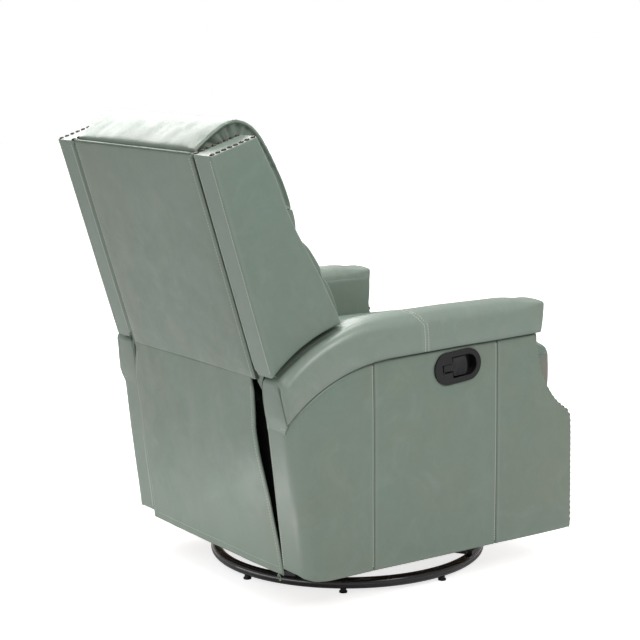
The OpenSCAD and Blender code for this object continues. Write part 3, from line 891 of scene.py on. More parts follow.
def domes(name, spots, body, r=5.2, h=2.6, node=None):
    V, F = [], []
    for p, n in spots:
        v, f = dome_verts(np.asarray(p, float), np.asarray(n, float), r, h)
        F += [tuple(i + len(V) for i in g) for g in f]
        V += v
    o = make(name, W(np.array(V)), F, M_NAIL, body)
    if node:
        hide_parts(node)
    return o


def facing(side, body="chassis"):
    name = "arm_front_facing_left" if side > 0 else "arm_front_facing_right"
    F = at(front_line(120), np.linspace(0, 1, 70))
    T = np.gradient(F, axis=0)
    T /= np.linalg.norm(T, axis=1, keepdims=True)
    Nn = np.stack([-T[:, 1], T[:, 0]], -1)          # forward of the edge
    if Nn[10, 0] > 0:
        Nn = -Nn
    xs = steps(77, 7, 3.5, 3.5) * 77 + 280.5
    L = arclen(F)
    h = np.zeros((len(xs), len(F)))
    dl = (xs - xs[0])[:, None] * np.ones((1, len(F)))
    h += 2.6 * np.sin(np.pi * dl / 77) ** 0.6 - edge_drop(dl, 77 - dl, L[None, :] * np.ones_like(dl), (L[-1] - L)[None, :] * np.ones_like(dl), (3, 3, 3, 3))
    h -= 1.0
    top = np.zeros((len(xs), len(F), 3))
    bot = np.zeros_like(top)
    top[..., 0] = bot[..., 0] = xs[:, None]
    lead = np.clip((F[:, 1] - 350) / 110, 0, 1)
    lead = (9.0 * lead * lead * (3 - 2 * lead))[None, :] * (1 - dl / 77) ** 1.2
    top[..., 1:] = F[None] + Nn[None] * h[..., None]
    top[..., 1] -= lead
    bot[..., 1:] = F[None] - Nn[None] * 7.4
    round_low(top)
    round_low(bot)
    M = np.array([side, 1, 1])
    o = closed(name, top * M, bot * M, M_SIDE, body, 2)
    subdiv(o)
    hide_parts(name)
    # nail rows follow both edges
    spots = []
    Fd = at(F, np.linspace(0, 1, 400))
    Ld = arclen(Fd)
    Td = np.gradient(Fd, axis=0)
    Td /= np.linalg.norm(Td, axis=1, keepdims=True)
    Nd = np.stack([-Td[:, 1], Td[:, 0]], -1)
    if Nd[30, 0] > 0:
        Nd = -Nd
    s = 18.0
    while s < Ld[-1] - 22:
        p = np.array([np.interp(s, Ld, Fd[:, 0]), np.interp(s, Ld, Fd[:, 1])])
        q = np.array([np.interp(s, Ld, Nd[:, 0]), np.interp(s, Ld, Nd[:, 1])])
        for x in (286.7, 350.3):
            P = p + q * 0.2
            f = min(1, max(0, (P[1] - 350) / 110))
            P = P - np.array([9.0 * f * f * (3 - 2 * f) * (1 - (x - 280.5) / 77) ** 1.2, 0])
            spots.append(([x * side, P[0], P[1]], [0, q[0], q[1]]))
        s += 13.6
    return spots


arm_spots = facing(1) + facing(-1)
domes("arm_nailheads_domed", arm_spots, "chassis", 5.2, 3.8, "arm_nailheads")


# ------------------------------------------------------------------ arm pads
def smin(a, b, k):
    """Smaller of two, rounded where they meet."""
    h = np.clip(0.5 + 0.5 * (b - a) / k, 0, 1)
    return b * (1 - h) + a * h - k * h * (1 - h)


def pad(side, body="chassis"):
    name = "arm_pad_left" if side > 0 else "arm_pad_right"
    # station curves: bottom seam and top line, front to rear
    yb = np.linspace(-266, 129, 46)
    bot = np.stack([yb, 530.6 + (129 - yb) * 10 / 391], -1)
    bot = np.vstack([bot, arc2((129, 150), 380.6, 90, 45.4, 40)[1:]])
    yt = np.linspace(-273.5, 162, 46)
    top = np.stack([yt, np.full_like(yt, 608.0)], -1)
    top = np.vstack([top, arc2(RC, 344, 90, 42.6, 40)[1:]])
    st = np.linspace(0, 1, 76)
    st = np.unique(np.round(np.concatenate([st, [0.003, 0.008, 0.995, 0.988]]), 5))
    Bm, Tm = at(bot, st), at(top, st)
    x0 = 280.5

    def section(h, w, k, ro, ri, dip=0.0):
        rb = 3.0
        pts = []

        def arcp(cx, cy, r, a, b, n):
            for q in np.radians(np.linspace(a, b, n)):
                pts.append((cx + r * math.cos(q), cy + r * math.sin(q)))
        arcp(w - rb, rb, rb, -90, 0, 4)
        for f in np.linspace(0, 1, 7)[1:-1]:
            pts.append((w + 1.6 * math.sin(math.pi * f), rb + (h - ro - rb) * f))
        arcp(w - ro, h - ro, ro, 0, 84, 7)
        for f in np.linspace(0, 1, 9)[1:-1]:
            pts.append((w - ro + (ri - (w - ro)) * f, h))
        arcp(ri, h - ri, ri, 96, 180, 6)
        for f in np.linspace(1, 0, 6)[1:-1]:
            pts.append((-1.2 * math.sin(math.pi * f), rb + (h - ri - rb) * f))
        arcp(rb, rb, rb, 180, 270, 4)
        for f in np.linspace(0, 1, 8)[1:-1]:
            pts.append((rb + (w - 2 * rb) * f, 0))
        P = np.array(pts)
        upper = np.clip((P[:, 1] - (h - 24)) / 24, 0, 1)
        crown = 13.0 * np.sin(np.pi * np.clip(P[:, 0] / w, 0, 1)) ** 0.75 * upper
        P[:, 1] += crown * k - dip * upper * np.clip((w - 25 - P[:, 0]) / 8, 0, 1)
        return P
    rings = []
    for i, q in enumerate(st):
        hv = Tm[i] - Bm[i]
        h = np.linalg.norm(hv)
        d = hv / h
        f = min(1, q / 0.13)
        f = f * f * (3 - 2 * f)
        g = min(1, max(0, (q - 0.62) / 0.36))
        k = (0.28 + 0.72 * f) * (1 - 0.35 * min(1, max(0, (q - 0.52) / 0.12))) * (1 - 0.85 * min(1, max(0, (q - 0.655) / 0.13)))
        w = 367.0 - x0 - 7.5 * g
        dip = 4.5 * min(1, max(0, (q - 0.665) / 0.11)) * min(1, max(0, (0.985 - q) / 0.05))
        P = section(h, w, k, 5.5 + 15.5 * f, 6 + 9 * f, dip)
        R = np.zeros((len(P), 3))
        R[:, 0] = x0 + P[:, 0] - 9.0 * g ** 3 * (1 - P[:, 0] / w)
        R[:, 1] = Bm[i][0] + d[0] * P[:, 1]
        R[:, 2] = Bm[i][1] + d[1] * P[:, 1]
        rings.append(R)
    R = np.array(rings)
    x1 = 367.0
    Cc = R.mean(1, keepdims=True)
    N = normals(np.concatenate([R, R[:, :1]], 1))[:, :-1]
    if (N[20, 8] @ (R[20, 8] - Cc[20, 0])) < 0:
        N = -N
    endf = np.clip(np.minimum(st, 1 - st) / 0.05, 0, 1)[:, None]
    R = R + N * ((1.0 * fbm(R, 140, 2, 3 + side) + 0.45 * fbm(R * np.array([1, 0.5, 1]), 38, 2, 5 + side)) * endf)[..., None]
    # cross seam, bowed to the rear over the top
    frac = np.clip((R[..., 0] - x0) / (x1 - x0), 0, 1)
    up = np.clip((R[..., 2] - 545) / 65, 0, 1)
    seam_y = 52 + 32 * np.sin(np.pi * frac) ** 0.8 * up + 3 * up
    dist = R[..., 1] - seam_y
    g = -3.0 * np.exp(-(dist / 3.4) ** 2) + 1.1 * np.exp(-((np.abs(dist) - 8) / 4.5) ** 2)
    R = R + N * g[..., None]
    # the rear end lies in the post's plane; the outer corner is sewn with small tucks
    plane = rear_y(R[..., 2]) + 0.6
    near = np.exp(-(np.maximum(plane - R[..., 1], 0) / 26) ** 2)
    outer = np.clip((R[..., 0] - 338) / 20, 0, 1)
    tuck = (np.cos(R[..., 2] * 2 * np.pi / 19 + 2.0) * 0.5 + 0.5) ** 2
    R[..., 0] -= 2.2 * near * outer * tuck * np.clip((R[..., 2] - 455) / 25, 0, 1) * np.clip((520 - R[..., 2]) / 15, 0, 1)
    R[..., 1] = smin(R[..., 1], plane, 3.0 + 12.0 * np.clip((R[..., 2] - 470) / 25, 0, 1))
    rz = 17.0 + 11.0 * np.clip((R[..., 2] - 424) / 62, 0, 1)
    t_in = np.clip(rear_y(R[..., 2]) + 0.6 - R[..., 1], 0, None)
    lim = np.where(t_in < rz, 368.5 - rz + np.sqrt(np.clip(rz ** 2 - (rz - np.minimum(t_in, rz)) ** 2, 0, None)), 400.0)
    lim = np.maximum(lim, 300.0)
    over = R[..., 0] > lim
    R[..., 0] = np.where(over, lim, R[..., 0])
    # a little fullness behind the crease
    full = np.exp(-((t_in - 6.0) / 5.0) ** 2) * np.clip((R[..., 0] - 325) / 10, 0, 1) * np.clip((R[..., 2] - 428) / 40, 0, 1)
    R[..., 1] += 2.6 * full
    axis0 = np.array([0, -1, 0.0])
    c0, c1 = R[0].mean(0), R[-1].mean(0)
    fr = [R[0] + (c0 - R[0]) * q + axis0 * p for q, p in ((0.02, 0.9), (0.06, 1.3), (0.2, 1.6), (0.4, 2.0), (0.65, 2.4), (0.86, 2.5))]
    rr = []
    for q, p in ((0.04, -0.8), (0.10, -1.4), (0.25, -1.6), (0.45, -1.6), (0.68, -1.6), (0.88, -1.6)):
        ring = R[-1] + (c1 - R[-1]) * q
        ring[:, 1] = rear_y(ring[:, 2]) + 0.6 + p
        rr.append(ring)
    S = np.concatenate([np.array(fr[::-1]), R, np.array(rr)], 0)
    M = np.array([side, 1, 1])
    o = loft(name, S * M, M_PAD_LIT, body)
    subdiv(o)
    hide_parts(name)
    co = np.array([v.co for v in o.data.vertices], float) * 1000 - np.array([0, YM, 0])
    fr_ = np.clip((np.abs(co[:, 0]) - x0) / (x1 - x0), 0, 1)
    up_ = np.clip((co[:, 2] - 545) / 65, 0, 1)
    sy = 52 + 32 * np.sin(np.pi * fr_) ** 0.8 * up_ + 3 * up_
    dd = co[:, 1] - sy
    # lighter beside the cross seam from rub and a painted highlight on its ridges, and a painted highlight on the rear
    # end face
    rub_and_highlight = 0.8 * np.exp(-((np.abs(dd) - 6) / 3.5) ** 2)
    pl = rear_y(co[:, 2]) - co[:, 1]
    rub_and_highlight = np.maximum(rub_and_highlight, 0.5 * np.exp(-((pl - 2) / 4) ** 2))
    paint(o, "seam", rub_and_highlight)
    # painted shade: dark in the cross seam's groove, a painted shadow on the pad's top under the wing's lower edge, and
    # a dark band along the pad's lower seam
    rad = np.hypot(co[:, 1] - RC[0], co[:, 2] - RC[1])
    under_wing_shadow = np.clip((rad - 318) / 8, 0, 1) * np.clip((337.5 - np.abs(co[:, 0])) / 3.5, 0, 1) * np.clip((co[:, 1] - 262) / 25, 0, 1)
    low = np.exp(-((co[:, 2] - seam_z(np.minimum(co[:, 1], 508))) / 2.6) ** 2) * (np.abs(co[:, 0]) > 352) * (co[:, 1] < 392)
    paint(o, "crease", np.maximum.reduce([0.7 * np.exp(-(dd / 2.0) ** 2), 0.22 * under_wing_shadow, 0.9 * low]))
    b = tree_of(o)
    rows = []
    for off in (-4.6, 4.6):
        P, D = [], []
        for f in np.linspace(0, 1, 60):          # up the outer face and over the top
            if f < 0.38:
                z = 534 + (592 - 534) * f / 0.38
                P.append([372.0, 52 + 3 * np.clip((z - 545) / 65, 0, 1) + off, z])
                D.append(0)
            else:
                q = (f - 0.38) / 0.62
                x = 361 - (361 - 288) * q
                fr1 = (x - x0) / (x1 - x0)
                P.append([x, 55 + 32 * math.sin(math.pi * fr1) ** 0.8 + off, 616])
                D.append(1)
        P = np.array(P) * np.array([side, 1, 1])
        D = np.array(D)
        a, na = hug(b, P[D == 0], (-side, 0, 0), 0.2)
        c, nc = hug(b, P[D == 1], (0, 0, -1), 0.2)
        rows.append((np.vstack([a, c]), np.vstack([na, nc])))
    stitches("pad_stitching_left" if side > 0 else "pad_stitching_right", rows, body, 5.6, 4.6, 0.85)
    return o


PADS = {s: pad(s) for s in (1, -1)}


def post_strip(side, body="chassis"):
    """The post's leather carried on up over the rear end of the arm pad."""
    n, m_ = 34, 15
    # along the strip: up the post's plane, then over the top toward the front
    zz = np.linspace(394.0, 499.0, 26)
    line = [[rear_y(z), z] for z in zz]
    c = np.array([rear_y(499.0) - 17.0, 497.5])
    line += [[c[0] + 17.0 * math.cos(a), c[1] + 17.0 * math.sin(a)] for a in np.radians(np.linspace(2, 52, 9))]
    line += [[line[-1][0] - 4.0, line[-1][1] + 3.4]]
    line = np.array(line)
    L = arclen(line)
    T = np.gradient(line, axis=0)
    T /= np.linalg.norm(T, axis=1, keepdims=True)
    Nn = np.stack([T[:, 1], -T[:, 0]], -1)
    crease = np.interp(line[:, 1], [394, 416, 426, 496, 512], [336.0, 351.5, 350.5, 334.0, 330.0])
    inner = np.interp(line[:, 1], [418, 466, 488, 501, 508, 515], [273.2, 273.2, 275.0, 279.0, 284.0, 292.0])
    q = steps(80, 6.5, 4, 3)
    S = np.zeros((len(line), len(q), 3))
    for i in range(len(line)):
        x = inner[i] + (crease[i] - inner[i]) * q
        dl, dr = x - inner[i], crease[i] - x
        h = 2.0 + 1.5 * (np.sin(np.pi * q)) ** 0.7 - 3.2 * (1 - np.sqrt(1 - np.clip(1 - dl / 4.0, 0, 1) ** 2)) - 1.6 * (1 - np.sqrt(1 - np.clip(1 - dr / 3.0, 0, 1) ** 2))
        low = np.clip(L[i] / 40.0, 0, 1)
        h = h * (0.04 + 0.96 * low * low * (3 - 2 * low))
        h = h + 0.75 * np.cos(line[i, 1] / 4.6 + 1.5) * np.exp(-(dr / 9) ** 2) * np.clip((line[i, 1] - 448) / 20, 0, 1)
        fade = np.clip((L[-1] - L[i]) / 14.0, 0, 1)
        h = h * (0.15 + 0.85 * fade)
        S[i, :, 0] = x
        S[i, :, 1] = line[i, 0] + Nn[i, 0] * h
        S[i, :, 2] = line[i, 1] + Nn[i, 1] * h
    bot = S.copy()
    bot[..., 1] -= Nn[:, None, 0] * 3.0
    bot[..., 2] -= Nn[:, None, 1] * 3.0
    M = np.array([side, 1, 1])
    o = closed("post_strip_left" if side > 0 else "post_strip_right", S * M, bot * M, M_SIDE, body, 1)
    subdiv(o)
    # painted highlight: the whole strip lighter, matching the painted highlight on the post's cover below
    paint(o, "seam", np.full(len(o.data.vertices), 0.8))
    b = tree_of(o)
    xs = np.linspace(325, 344, 22)
    P = np.stack([xs * side, np.full_like(xs, 410.0), np.full_like(xs, 409.0)], -1)
    row = hug(b, P, (0, -1, 0), 0.2)
    stitches("post_tuck_left" if side > 0 else "post_tuck_right", [row], body, 4.6, 4.2, 0.7)
    return o


for s in (1, -1):
    post_strip(s)


# ------------------------------------------------------------------ wings
def wing(side, body="backrest"):
    name = "wing_left" if side > 0 else "wing_right"
    rearb, reart = np.array([413.0, 513.3]), np.array([549.0, 966.0])
    frontt = np.array([442.0, 1000.0])
    fc = spl([[242.8, 608.4], [255, 637], [268, 662], [289, 704], [309, 738], [329, 772], [349, 806], [367, 841], [381, 876], [396, 913], [419, 957], [442, 1000]], 90)
    bt = arc2(RC, 353.75, 76.8, 44.81, 40)
    L = fc                                   # front edge, bottom to top
    R = np.array([rearb, reart])             # rear edge
    B = bt                                   # bottom, front to rear
    T = np.array([frontt, reart])            # top, front to rear
    rf, rr, rb, rt = 6.0, 3.6, 5.0, 2.6
    us, vs = steps(170, 8, 0, 0), steps(440, 9, rb, rt)
    us = steps(150, 8.5, 6, 3.6)
    yz = coons(L, R, B, T, us, vs)
    wloc = np.linalg.norm(yz[-1] - yz[0], axis=-1)[None, :]
    # keep the rounding radii true where the wing is narrow or wide
    d_f = np.zeros(yz.shape[:2])
    d_f[1:] = np.cumsum(np.linalg.norm(np.diff(yz, axis=0), axis=-1), 0)
    d_r = d_f[-1:] - d_f
    d_b = np.zeros(yz.shape[:2])
    d_b[:, 1:] = np.cumsum(np.linalg.norm(np.diff(yz, axis=1), axis=-1), 1)
    d_t = d_b[:, -1:] - d_b
    H = 36.0
    mid = 294.0
    S = np.concatenate([np.full(yz.shape[:2] + (1,), mid), yz], -1)
    e = edge_drop(d_f, d_r, d_b, d_t, (rf, rr, rb, rt))
    puff = 3.0 * np.clip((np.minimum.reduce([d_f, d_r, d_b, d_t]) - 3) / 90, 0, 1) ** 0.8
    nz = (0.9 * fbm(S, 130, 2, 7 + side) + 0.3 * fbm(S, 40, 2, 8 + side)) * np.clip(np.minimum(d_b, d_t) / 20, 0, 1)
    out = S + np.array([1, 0, 0]) * (H - e + puff + nz)[..., None]
    inn = S - np.array([1, 0, 0]) * (H - 2.5 - edge_drop(d_f, d_r, d_b, d_t, (8, 5, 19, 3.2)) + 0.0 * puff)[..., None]
    M = np.array([side, 1, 1])
    o = closed(name, out * M, inn * M, M_WING, body, 8, None)
    subdiv(o)
    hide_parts(name)
    co = np.array([v.co for v in o.data.vertices], float) * 1000 - np.array([0, YM, 0])
    t = (reart - rearb) / np.linalg.norm(reart - rearb)
    nrm = np.array([t[1], -t[0]])
    dr = (co[:, 1:] - rearb) @ nrm
    # painted highlight: a pale band along the rear edge of the outer face, and the rear face painted lighter for the
    # light it catches
    rub_and_highlight = np.exp(-((dr + 2.0) / 4.0) ** 2) * (np.abs(co[:, 0]) > 318)
    paint(o, "seam", np.clip(np.maximum(0.7 * rub_and_highlight, 0.75 * np.clip((dr + 7) / 3, 0, 1) * (np.abs(co[:, 0]) < 329)), 0, 1))
    paint(o, "crease", np.zeros(len(co)))
    # stitch row on the rear face beside the groove, and one inside the rear edge on the outer face
    b = tree_of(o)
    rows = []
    q = np.linspace(0.02, 0.98, 160)[:, None]
    Pr = rearb + (reart - rearb) * q
    P = np.concatenate([np.full((len(Pr), 1), 268.0 * side), Pr + nrm * 6], 1)
    rows.append(hug(b, P, (0, -nrm[0], -nrm[1]), 0.15, 20))
    P = np.concatenate([np.full((len(Pr), 1), 323.0 * side), Pr + nrm * 6], 1)
    rows.append(hug(b, P, (0, -nrm[0], -nrm[1]), 0.2, 20))
    stitches("wing_stitching_left" if side > 0 else "wing_stitching_right", rows, body, 5.6, 4.6, 0.85)
    # nailheads along the top
    tt = (reart - frontt) / np.linalg.norm(reart - frontt)
    nn = np.array([-tt[1], tt[0]])
    if nn[1] < 0:
        nn = -nn
    spots = []
    for x in (264.8, 323.4):
        for i in range(8):
            p = frontt + tt * (7 + i * 14) + nn * 0.1
            spots.append(([x * side, p[0], p[1]], [0, nn[0], nn[1]]))
    return o, spots


def wing_tab(side, body="backrest"):
    """Leather turned in below the wing's inner rear corner, beside the back's hinge."""
    us, vs = np.linspace(0, 1, 9), np.linspace(0, 1, 16)
    S = np.zeros((len(us), len(vs), 3))
    for i, u in enumerate(us):
        for j, v in enumerate(vs):
            z = 517.0 - 36.0 * v
            xa = float(np.interp(z, [481, 490, 497, 503, 517], [264.0, 256.0, 249.5, 258.2, 258.4]))
            xb = float(np.interp(z, [481, 488, 495, 501, 508, 517], [266.6, 267.5, 269.5, 272.5, 277.0, 283.0]))
            S[i, j] = [xa + (xb - xa) * u, 403.0 - 4.0 * v + 1.2 * math.sin(math.pi * u), z]
    bot = S - np.array([0, 2.4, 0])
    M = np.array([side, 1, 1])
    closed("wing_tab_left" if side > 0 else "wing_tab_right", S * M, bot * M, M_SIDE, body, 1)
    # the cover turned under the wing's rear edge, on an arc about the recline axis
    us, vs = steps(62, 5, 3, 1.2), np.linspace(0, 1, 9)
    F = np.zeros((len(us), len(vs), 3))
    for i, u in enumerate(us):
        for j, v in enumerate(vs):
            x = 265.5 + 60.5 * u
            r = 361.5 + (348.2 + 1.2 * math.sin(math.pi * u) - 361.5) * v
            a = math.radians(45.55 + 0.5 * v)
            F[i, j] = [x, RC[0] + r * math.cos(a), RC[1] + r * math.sin(a)]
    G = F.copy()
    G[..., 1] -= 2.2 * math.sin(math.radians(46))
    G[..., 2] += 2.2 * math.cos(math.radians(46))
    return closed("wing_flap_left" if side > 0 else "wing_flap_right", F * M, G * M, M_SIDE, body, 1)


for s in (1, -1):
    wing_tab(s)
wl, sp1 = wing(1)
wr, sp2 = wing(-1)
domes("wing_nailheads_domed", sp1 + sp2, "backrest", 5.2, 2.7, "wing_nailheads")


# ------------------------------------------------------------------ back outer panel
LEAN = math.radians(16.7)


def on_back(P):
    """Panel coordinates (x, out, up) in mm to the swivel-centred frame."""
    P = np.asarray(P, float)
    y = P[..., 1] * math.cos(LEAN) + P[..., 2] * math.sin(LEAN)
    z = -P[..., 1] * math.sin(LEAN) + P[..., 2] * math.cos(LEAN)
    return np.stack([P[..., 0], 412 + y, 513 + z], -1)


def back_panel(body="backrest"):
    us, vs = steps(514, 11, 7, 7), steps(487, 11, 5, 5)
    v = vs[None, :] * np.ones((len(us), 1))
    u = us[:, None] * np.ones((1, len(vs)))
    zl = -15 + 487.5 * v
    hw = 254.2 - 3.6 * np.clip((v - 0.35) / 0.65, 0, 1) ** 1.5
    x = (2 * u - 1) * hw
    zl = zl - 3.0 * np.sin(np.pi * u) * (v < 0.02)
    dl, dr = (x + hw), (hw - x)
    db, dt = (zl + 15), (472.5 - zl)
    h = 1.0 + 3.6 * (np.clip(np.minimum.reduce([dl, dr, db, dt]) / 90, 0, 1)) ** 0.7
    P0 = np.stack([x, np.zeros_like(x), zl], -1)
    nz = 1.0 * fbm(P0 * np.array([1, 1, 0.45]), 110, 2, 15) + 0.35 * fbm(P0 * np.array([1, 1, 0.25]), 34, 2, 16)
    h += nz * np.clip(np.minimum(db, dt) / 25, 0, 1) * np.clip(np.minimum(dl, dr) / 25, 0, 1)
    e = edge_drop(dl, dr, db, dt, (4.5, 4.5, 4, 4))
    # sewn line just inside both side edges
    for d in (dl, dr):
        h += -1.0 * np.exp(-((d - 8) / 2.0) ** 2)
    top = on_back(np.stack([x, h - e, zl], -1))
    bot = on_back(np.stack([x, np.full_like(x, -13.0), zl], -1))
    o = closed("back_outer_panel", top, bot, M_BACK, body, 2)
    subdiv(o)
    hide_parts("back_outer_panel")
    co = np.array([p.co for p in o.data.vertices], float) * 1000 - np.array([0, YM, 0])
    n = len(us) * len(vs)
    rub_and_highlight = np.zeros(len(co))
    # painted light: the panel lighter toward the top
    painted_light_ramp = 0.75 * np.clip((zl - 240) / 220, 0, 1)
    # lighter along the side edges from rub, and a painted highlight on the top folded edge
    rub_and_highlight[:n] = np.clip(np.maximum(0.6 * np.exp(-((np.minimum(dl, dr) - 2) / 3.0) ** 2) + 0.7 * np.exp(-(dt / 3.5) ** 2), painted_light_ramp), 0, 1).ravel()
    paint(o, "seam", np.clip(rub_and_highlight, 0, 1))
    # painted shade: the panel darker toward the bottom
    painted_shade = np.zeros(len(co))
    painted_shade[:n] = (0.07 * np.clip((210 - zl) / 130, 0, 1)).ravel()
    paint(o, "crease", painted_shade)
    b = tree_of(o)
    rows = []
    way = on_back([0, -1, 0]) - on_back([0, 0, 0])
    for sx in (-1, 1):
        q = np.linspace(0.0, 1.0, 170)
        zl1 = -8 + 474 * q
        hw1 = 254.2 - 3.6 * np.clip((q - 0.35) / 0.65, 0, 1) ** 1.5
        P = on_back(np.stack([sx * (hw1 - 8), np.full_like(q, 4.0), zl1], -1))
        rows.append(hug(b, P, way, 0.1))
        P = on_back(np.stack([sx * (hw1 + 1.2), np.full_like(q, -1.0), zl1 - 4], -1))
        tube("back_panel_welt_%s" % ("left" if sx > 0 else "right"), P, 2.3, M_BACK, body, 8)
    stitches("back_panel_stitching", rows, body, 6.4, 4.6, 0.5)
    # welt along the top edge and down both sides
    x = np.linspace(-250, 250, 62)
    P = on_back(np.stack([x, np.full_like(x, -1.6), 474.2 + 0 * x], -1))
    tube("back_panel_top_welt", P, 1.7, M_BACK, body, 10)
    return o


back_panel()


# ------------------------------------------------------------------ head roll
def closed_profile(P, n):
    P = np.vstack([P, P[:1]])
    return at(P, np.linspace(0, 1, n + 1))[:-1]


def crisp(prof, corners, tight=2.5):
    """Moves the nearest samples on to the profile's real corners and close beside them."""
    n = len(prof)
    for c in corners:
        c = np.asarray(c, float)
        i = int(np.argmin(np.linalg.norm(prof - c, axis=1)))
        a, b = prof[(i - 1) % n].copy(), prof[(i + 1) % n].copy()
        prof[i] = c
        prof[(i - 1) % n] = c + (a - c) / max(np.linalg.norm(a - c), 1e-6) * tight
        prof[(i + 1) % n] = c + (b - c) / max(np.linalg.norm(b - c), 1e-6) * tight
    return prof


def head_roll(body="backrest"):
    front = [[313.5, 842.6], [323.5, 873], [337, 908], [354, 943], [371, 974], [390, 1001.5], [412, 1021], [438, 1030.5], [462, 1028], [486, 1016], [515, 996], [541, 974]]
    crv = spl(front, 90)
    backp = np.array([[537, 969], [525.5, 941], [505, 946], [483, 950], [470, 905], [450.8, 842.8], [384, 842.6]])
    prof = np.vstack([crv, backp])
    n = 118
    prof = crisp(closed_profile(prof, n), [(313.5, 842.6), (450.8, 842.8)])
    cen = np.array([440.0, 935.0])
    xs_end = 253.0
    R = 4.5
    stations = [(-1, R * (1 - math.sin(a)) - 0, math.cos(a)) for a in ()]
    rings, xs = [], []
    th = np.linspace(0, math.pi / 2, 6)
    prof_s = []
    for a in th:                                   # rounded ends
        prof_s.append((xs_end - R + R * math.sin(math.pi / 2 - a) * 1.0, R * (1 - math.cos(math.pi / 2 - a))))
    # order from the tip inwards
    main = np.linspace(xs_end - R, -(xs_end - R), 78)[1:-1]
    seq = [(x, i) for x, i in prof_s] + [(x, 0.0) for x in main] + [(-x, i) for x, i in prof_s[::-1]]
    d = prof - cen
    L = np.linalg.norm(d, axis=1, keepdims=True)
    dirn = d / L
    topness = np.clip((prof[:, 1] - 880) / 110, 0, 1)
    s_ar = np.arange(n) / n
    frontal = np.clip((400 - prof[:, 0]) / 40, 0, 1) * (prof[:, 1] > 845)
    for x, inset in seq:
        P = prof - dirn * inset * (0.35 + 0.65 * topness[:, None])
        # the roll thins a little toward its ends, and its front tucks in behind the wings
        t = abs(x) / xs_end
        P = P - dirn * 0.8 * np.clip((t - 0.55) / 0.45, 0, 1) ** 2 * topness[:, None]
        P[:, 0] -= 1.5 * frontal * t ** 6
        rings.append(np.concatenate([np.full((n, 1), x), P], 1))
    S = np.array(rings)
    # gathers where the end is sewn in: pleats fade toward the middle
    ang = np.arctan2(prof[:, 1] - 955, prof[:, 0] - 440)

    def pleats(c, turn=0.0):
        ph = ang * 23 + 2.2 * np.sin(ang * 6 + c) + 0.9 * np.sin(ang * 11 + 1 + c) + turn
        return (1 - np.abs(np.sin(ph / 2))) ** 1.4
    for i in range(len(S)):
        x = S[i, 0, 0]
        dist = xs_end - abs(x)
        fade = math.exp(-(dist / 15.0) ** 2)
        w = pleats(2 if x > 0 else 0)
        P2 = S[i, :, 1:] - dirn * (1.5 * fade * w * topness)[:, None]
        S[i, :, 1:] = P2
    N = normals(np.concatenate([S, S[:, :1]], 1))[:, :-1]
    c = S.mean(1, keepdims=True)
    sgn = 1 if (N[40, 40] @ (S[40, 40] - c[40, 0])) > 0 else -1
    nz = 1.8 * fbm(S * np.array([0.55, 1, 1]), 95, 2, 31) + 0.7 * fbm(S * np.array([1.0, 0.6, 0.6]), 36, 2, 33)
    S = S + N * sgn * (nz * topness[None, :])[..., None]
    # end caps: gathered discs, sunk in the middle
    def cap(ring, sx):
        cc = np.array([ring[0, 0], 440.0, 940.0])
        out = []
        for k, (q, push) in enumerate(((0.02, -0.2), (0.045, -2.6), (0.08, -5.0), (0.13, -6.5), (0.2, -6.2), (0.28, -5.4), (0.38, -5.0), (0.52, -5.4), (0.7, -6.5), (0.88, -7.5))):
            w = pleats(2 if sx > 0 else 0, 0.7 * math.sin(k * 0.9))
            p = ring + (cc - ring) * q
            p[:, 0] += sx * (push - 9.0 * w * (1 - q) ** 1.2 * topness * min(1.0, q / 0.08))
            out.append(p)
        return out
    a = cap(S[0], 1)
    z = cap(S[-1], -1)
    S = np.concatenate([np.array(a[::-1]), S, np.array(z)], 0)
    o = loft("head_cushion", S, M_SEAT, body)
    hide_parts("head_cushion")
    pin = np.array([1.0 if (v.co.z * 1000 < 868 or (v.co.y * 1000 - YM) > 520) else 0.0 for v in o.data.vertices])
    co = np.array([v.co for v in o.data.vertices], float) * 1000 - np.array([0, YM, 0])
    ends = np.clip((np.abs(co[:, 0]) - 236) / 10, 0, 1)
    pin = np.maximum(pin, ends)
    calm = np.clip(0.25 + 0.75 * np.clip((np.abs(co[:, 0]) - 150) / 80, 0, 1), 0, 1)
    inflate(o, 2.0, 3.0, np.maximum(pin, 0.6 * calm + 0.1), 12, -0.002, 20, 6.0)
    smooth_mesh(o, 7, 0.5, np.clip((236 - np.abs(co[:, 0])) / 20, 0, 1))
    subdiv(o)
    # painted highlight on the lower front of the roll's ends, beside the wings
    paint(o, "seam", 0.85 * np.clip((np.abs(co[:, 0]) - 222) / 16, 0, 1) * np.clip((990 - co[:, 2]) / 25, 0, 1) * (co[:, 1] < 425))
    # painted shade in the gathered folds on the upper rear of the roll's ends
    nr, m = len(S), S.shape[1]
    ring_no = np.repeat(np.arange(nr), m)[:len(co)]
    ring_no = np.pad(ring_no, (0, len(co) - len(ring_no)), constant_values=0)
    e0 = np.minimum(ring_no, nr - 1 - ring_no)
    cap_fold_shade = np.clip(1.0 - np.abs(e0 - 8.0) / 1.6, 0, 1)
    inside = np.clip((249.0 - np.abs(co[:, 0])) / 8, 0, 1) * (e0 < 9)
    tops = np.clip((co[:, 2] - 930) / 40, 0, 1)
    tops = tops * np.clip((co[:, 1] - 392) / 25, 0, 1)
    paint(o, "crease", np.clip(0.22 * cap_fold_shade + 0.4 * inside, 0, 0.6) * tops)
    return o


head_roll()


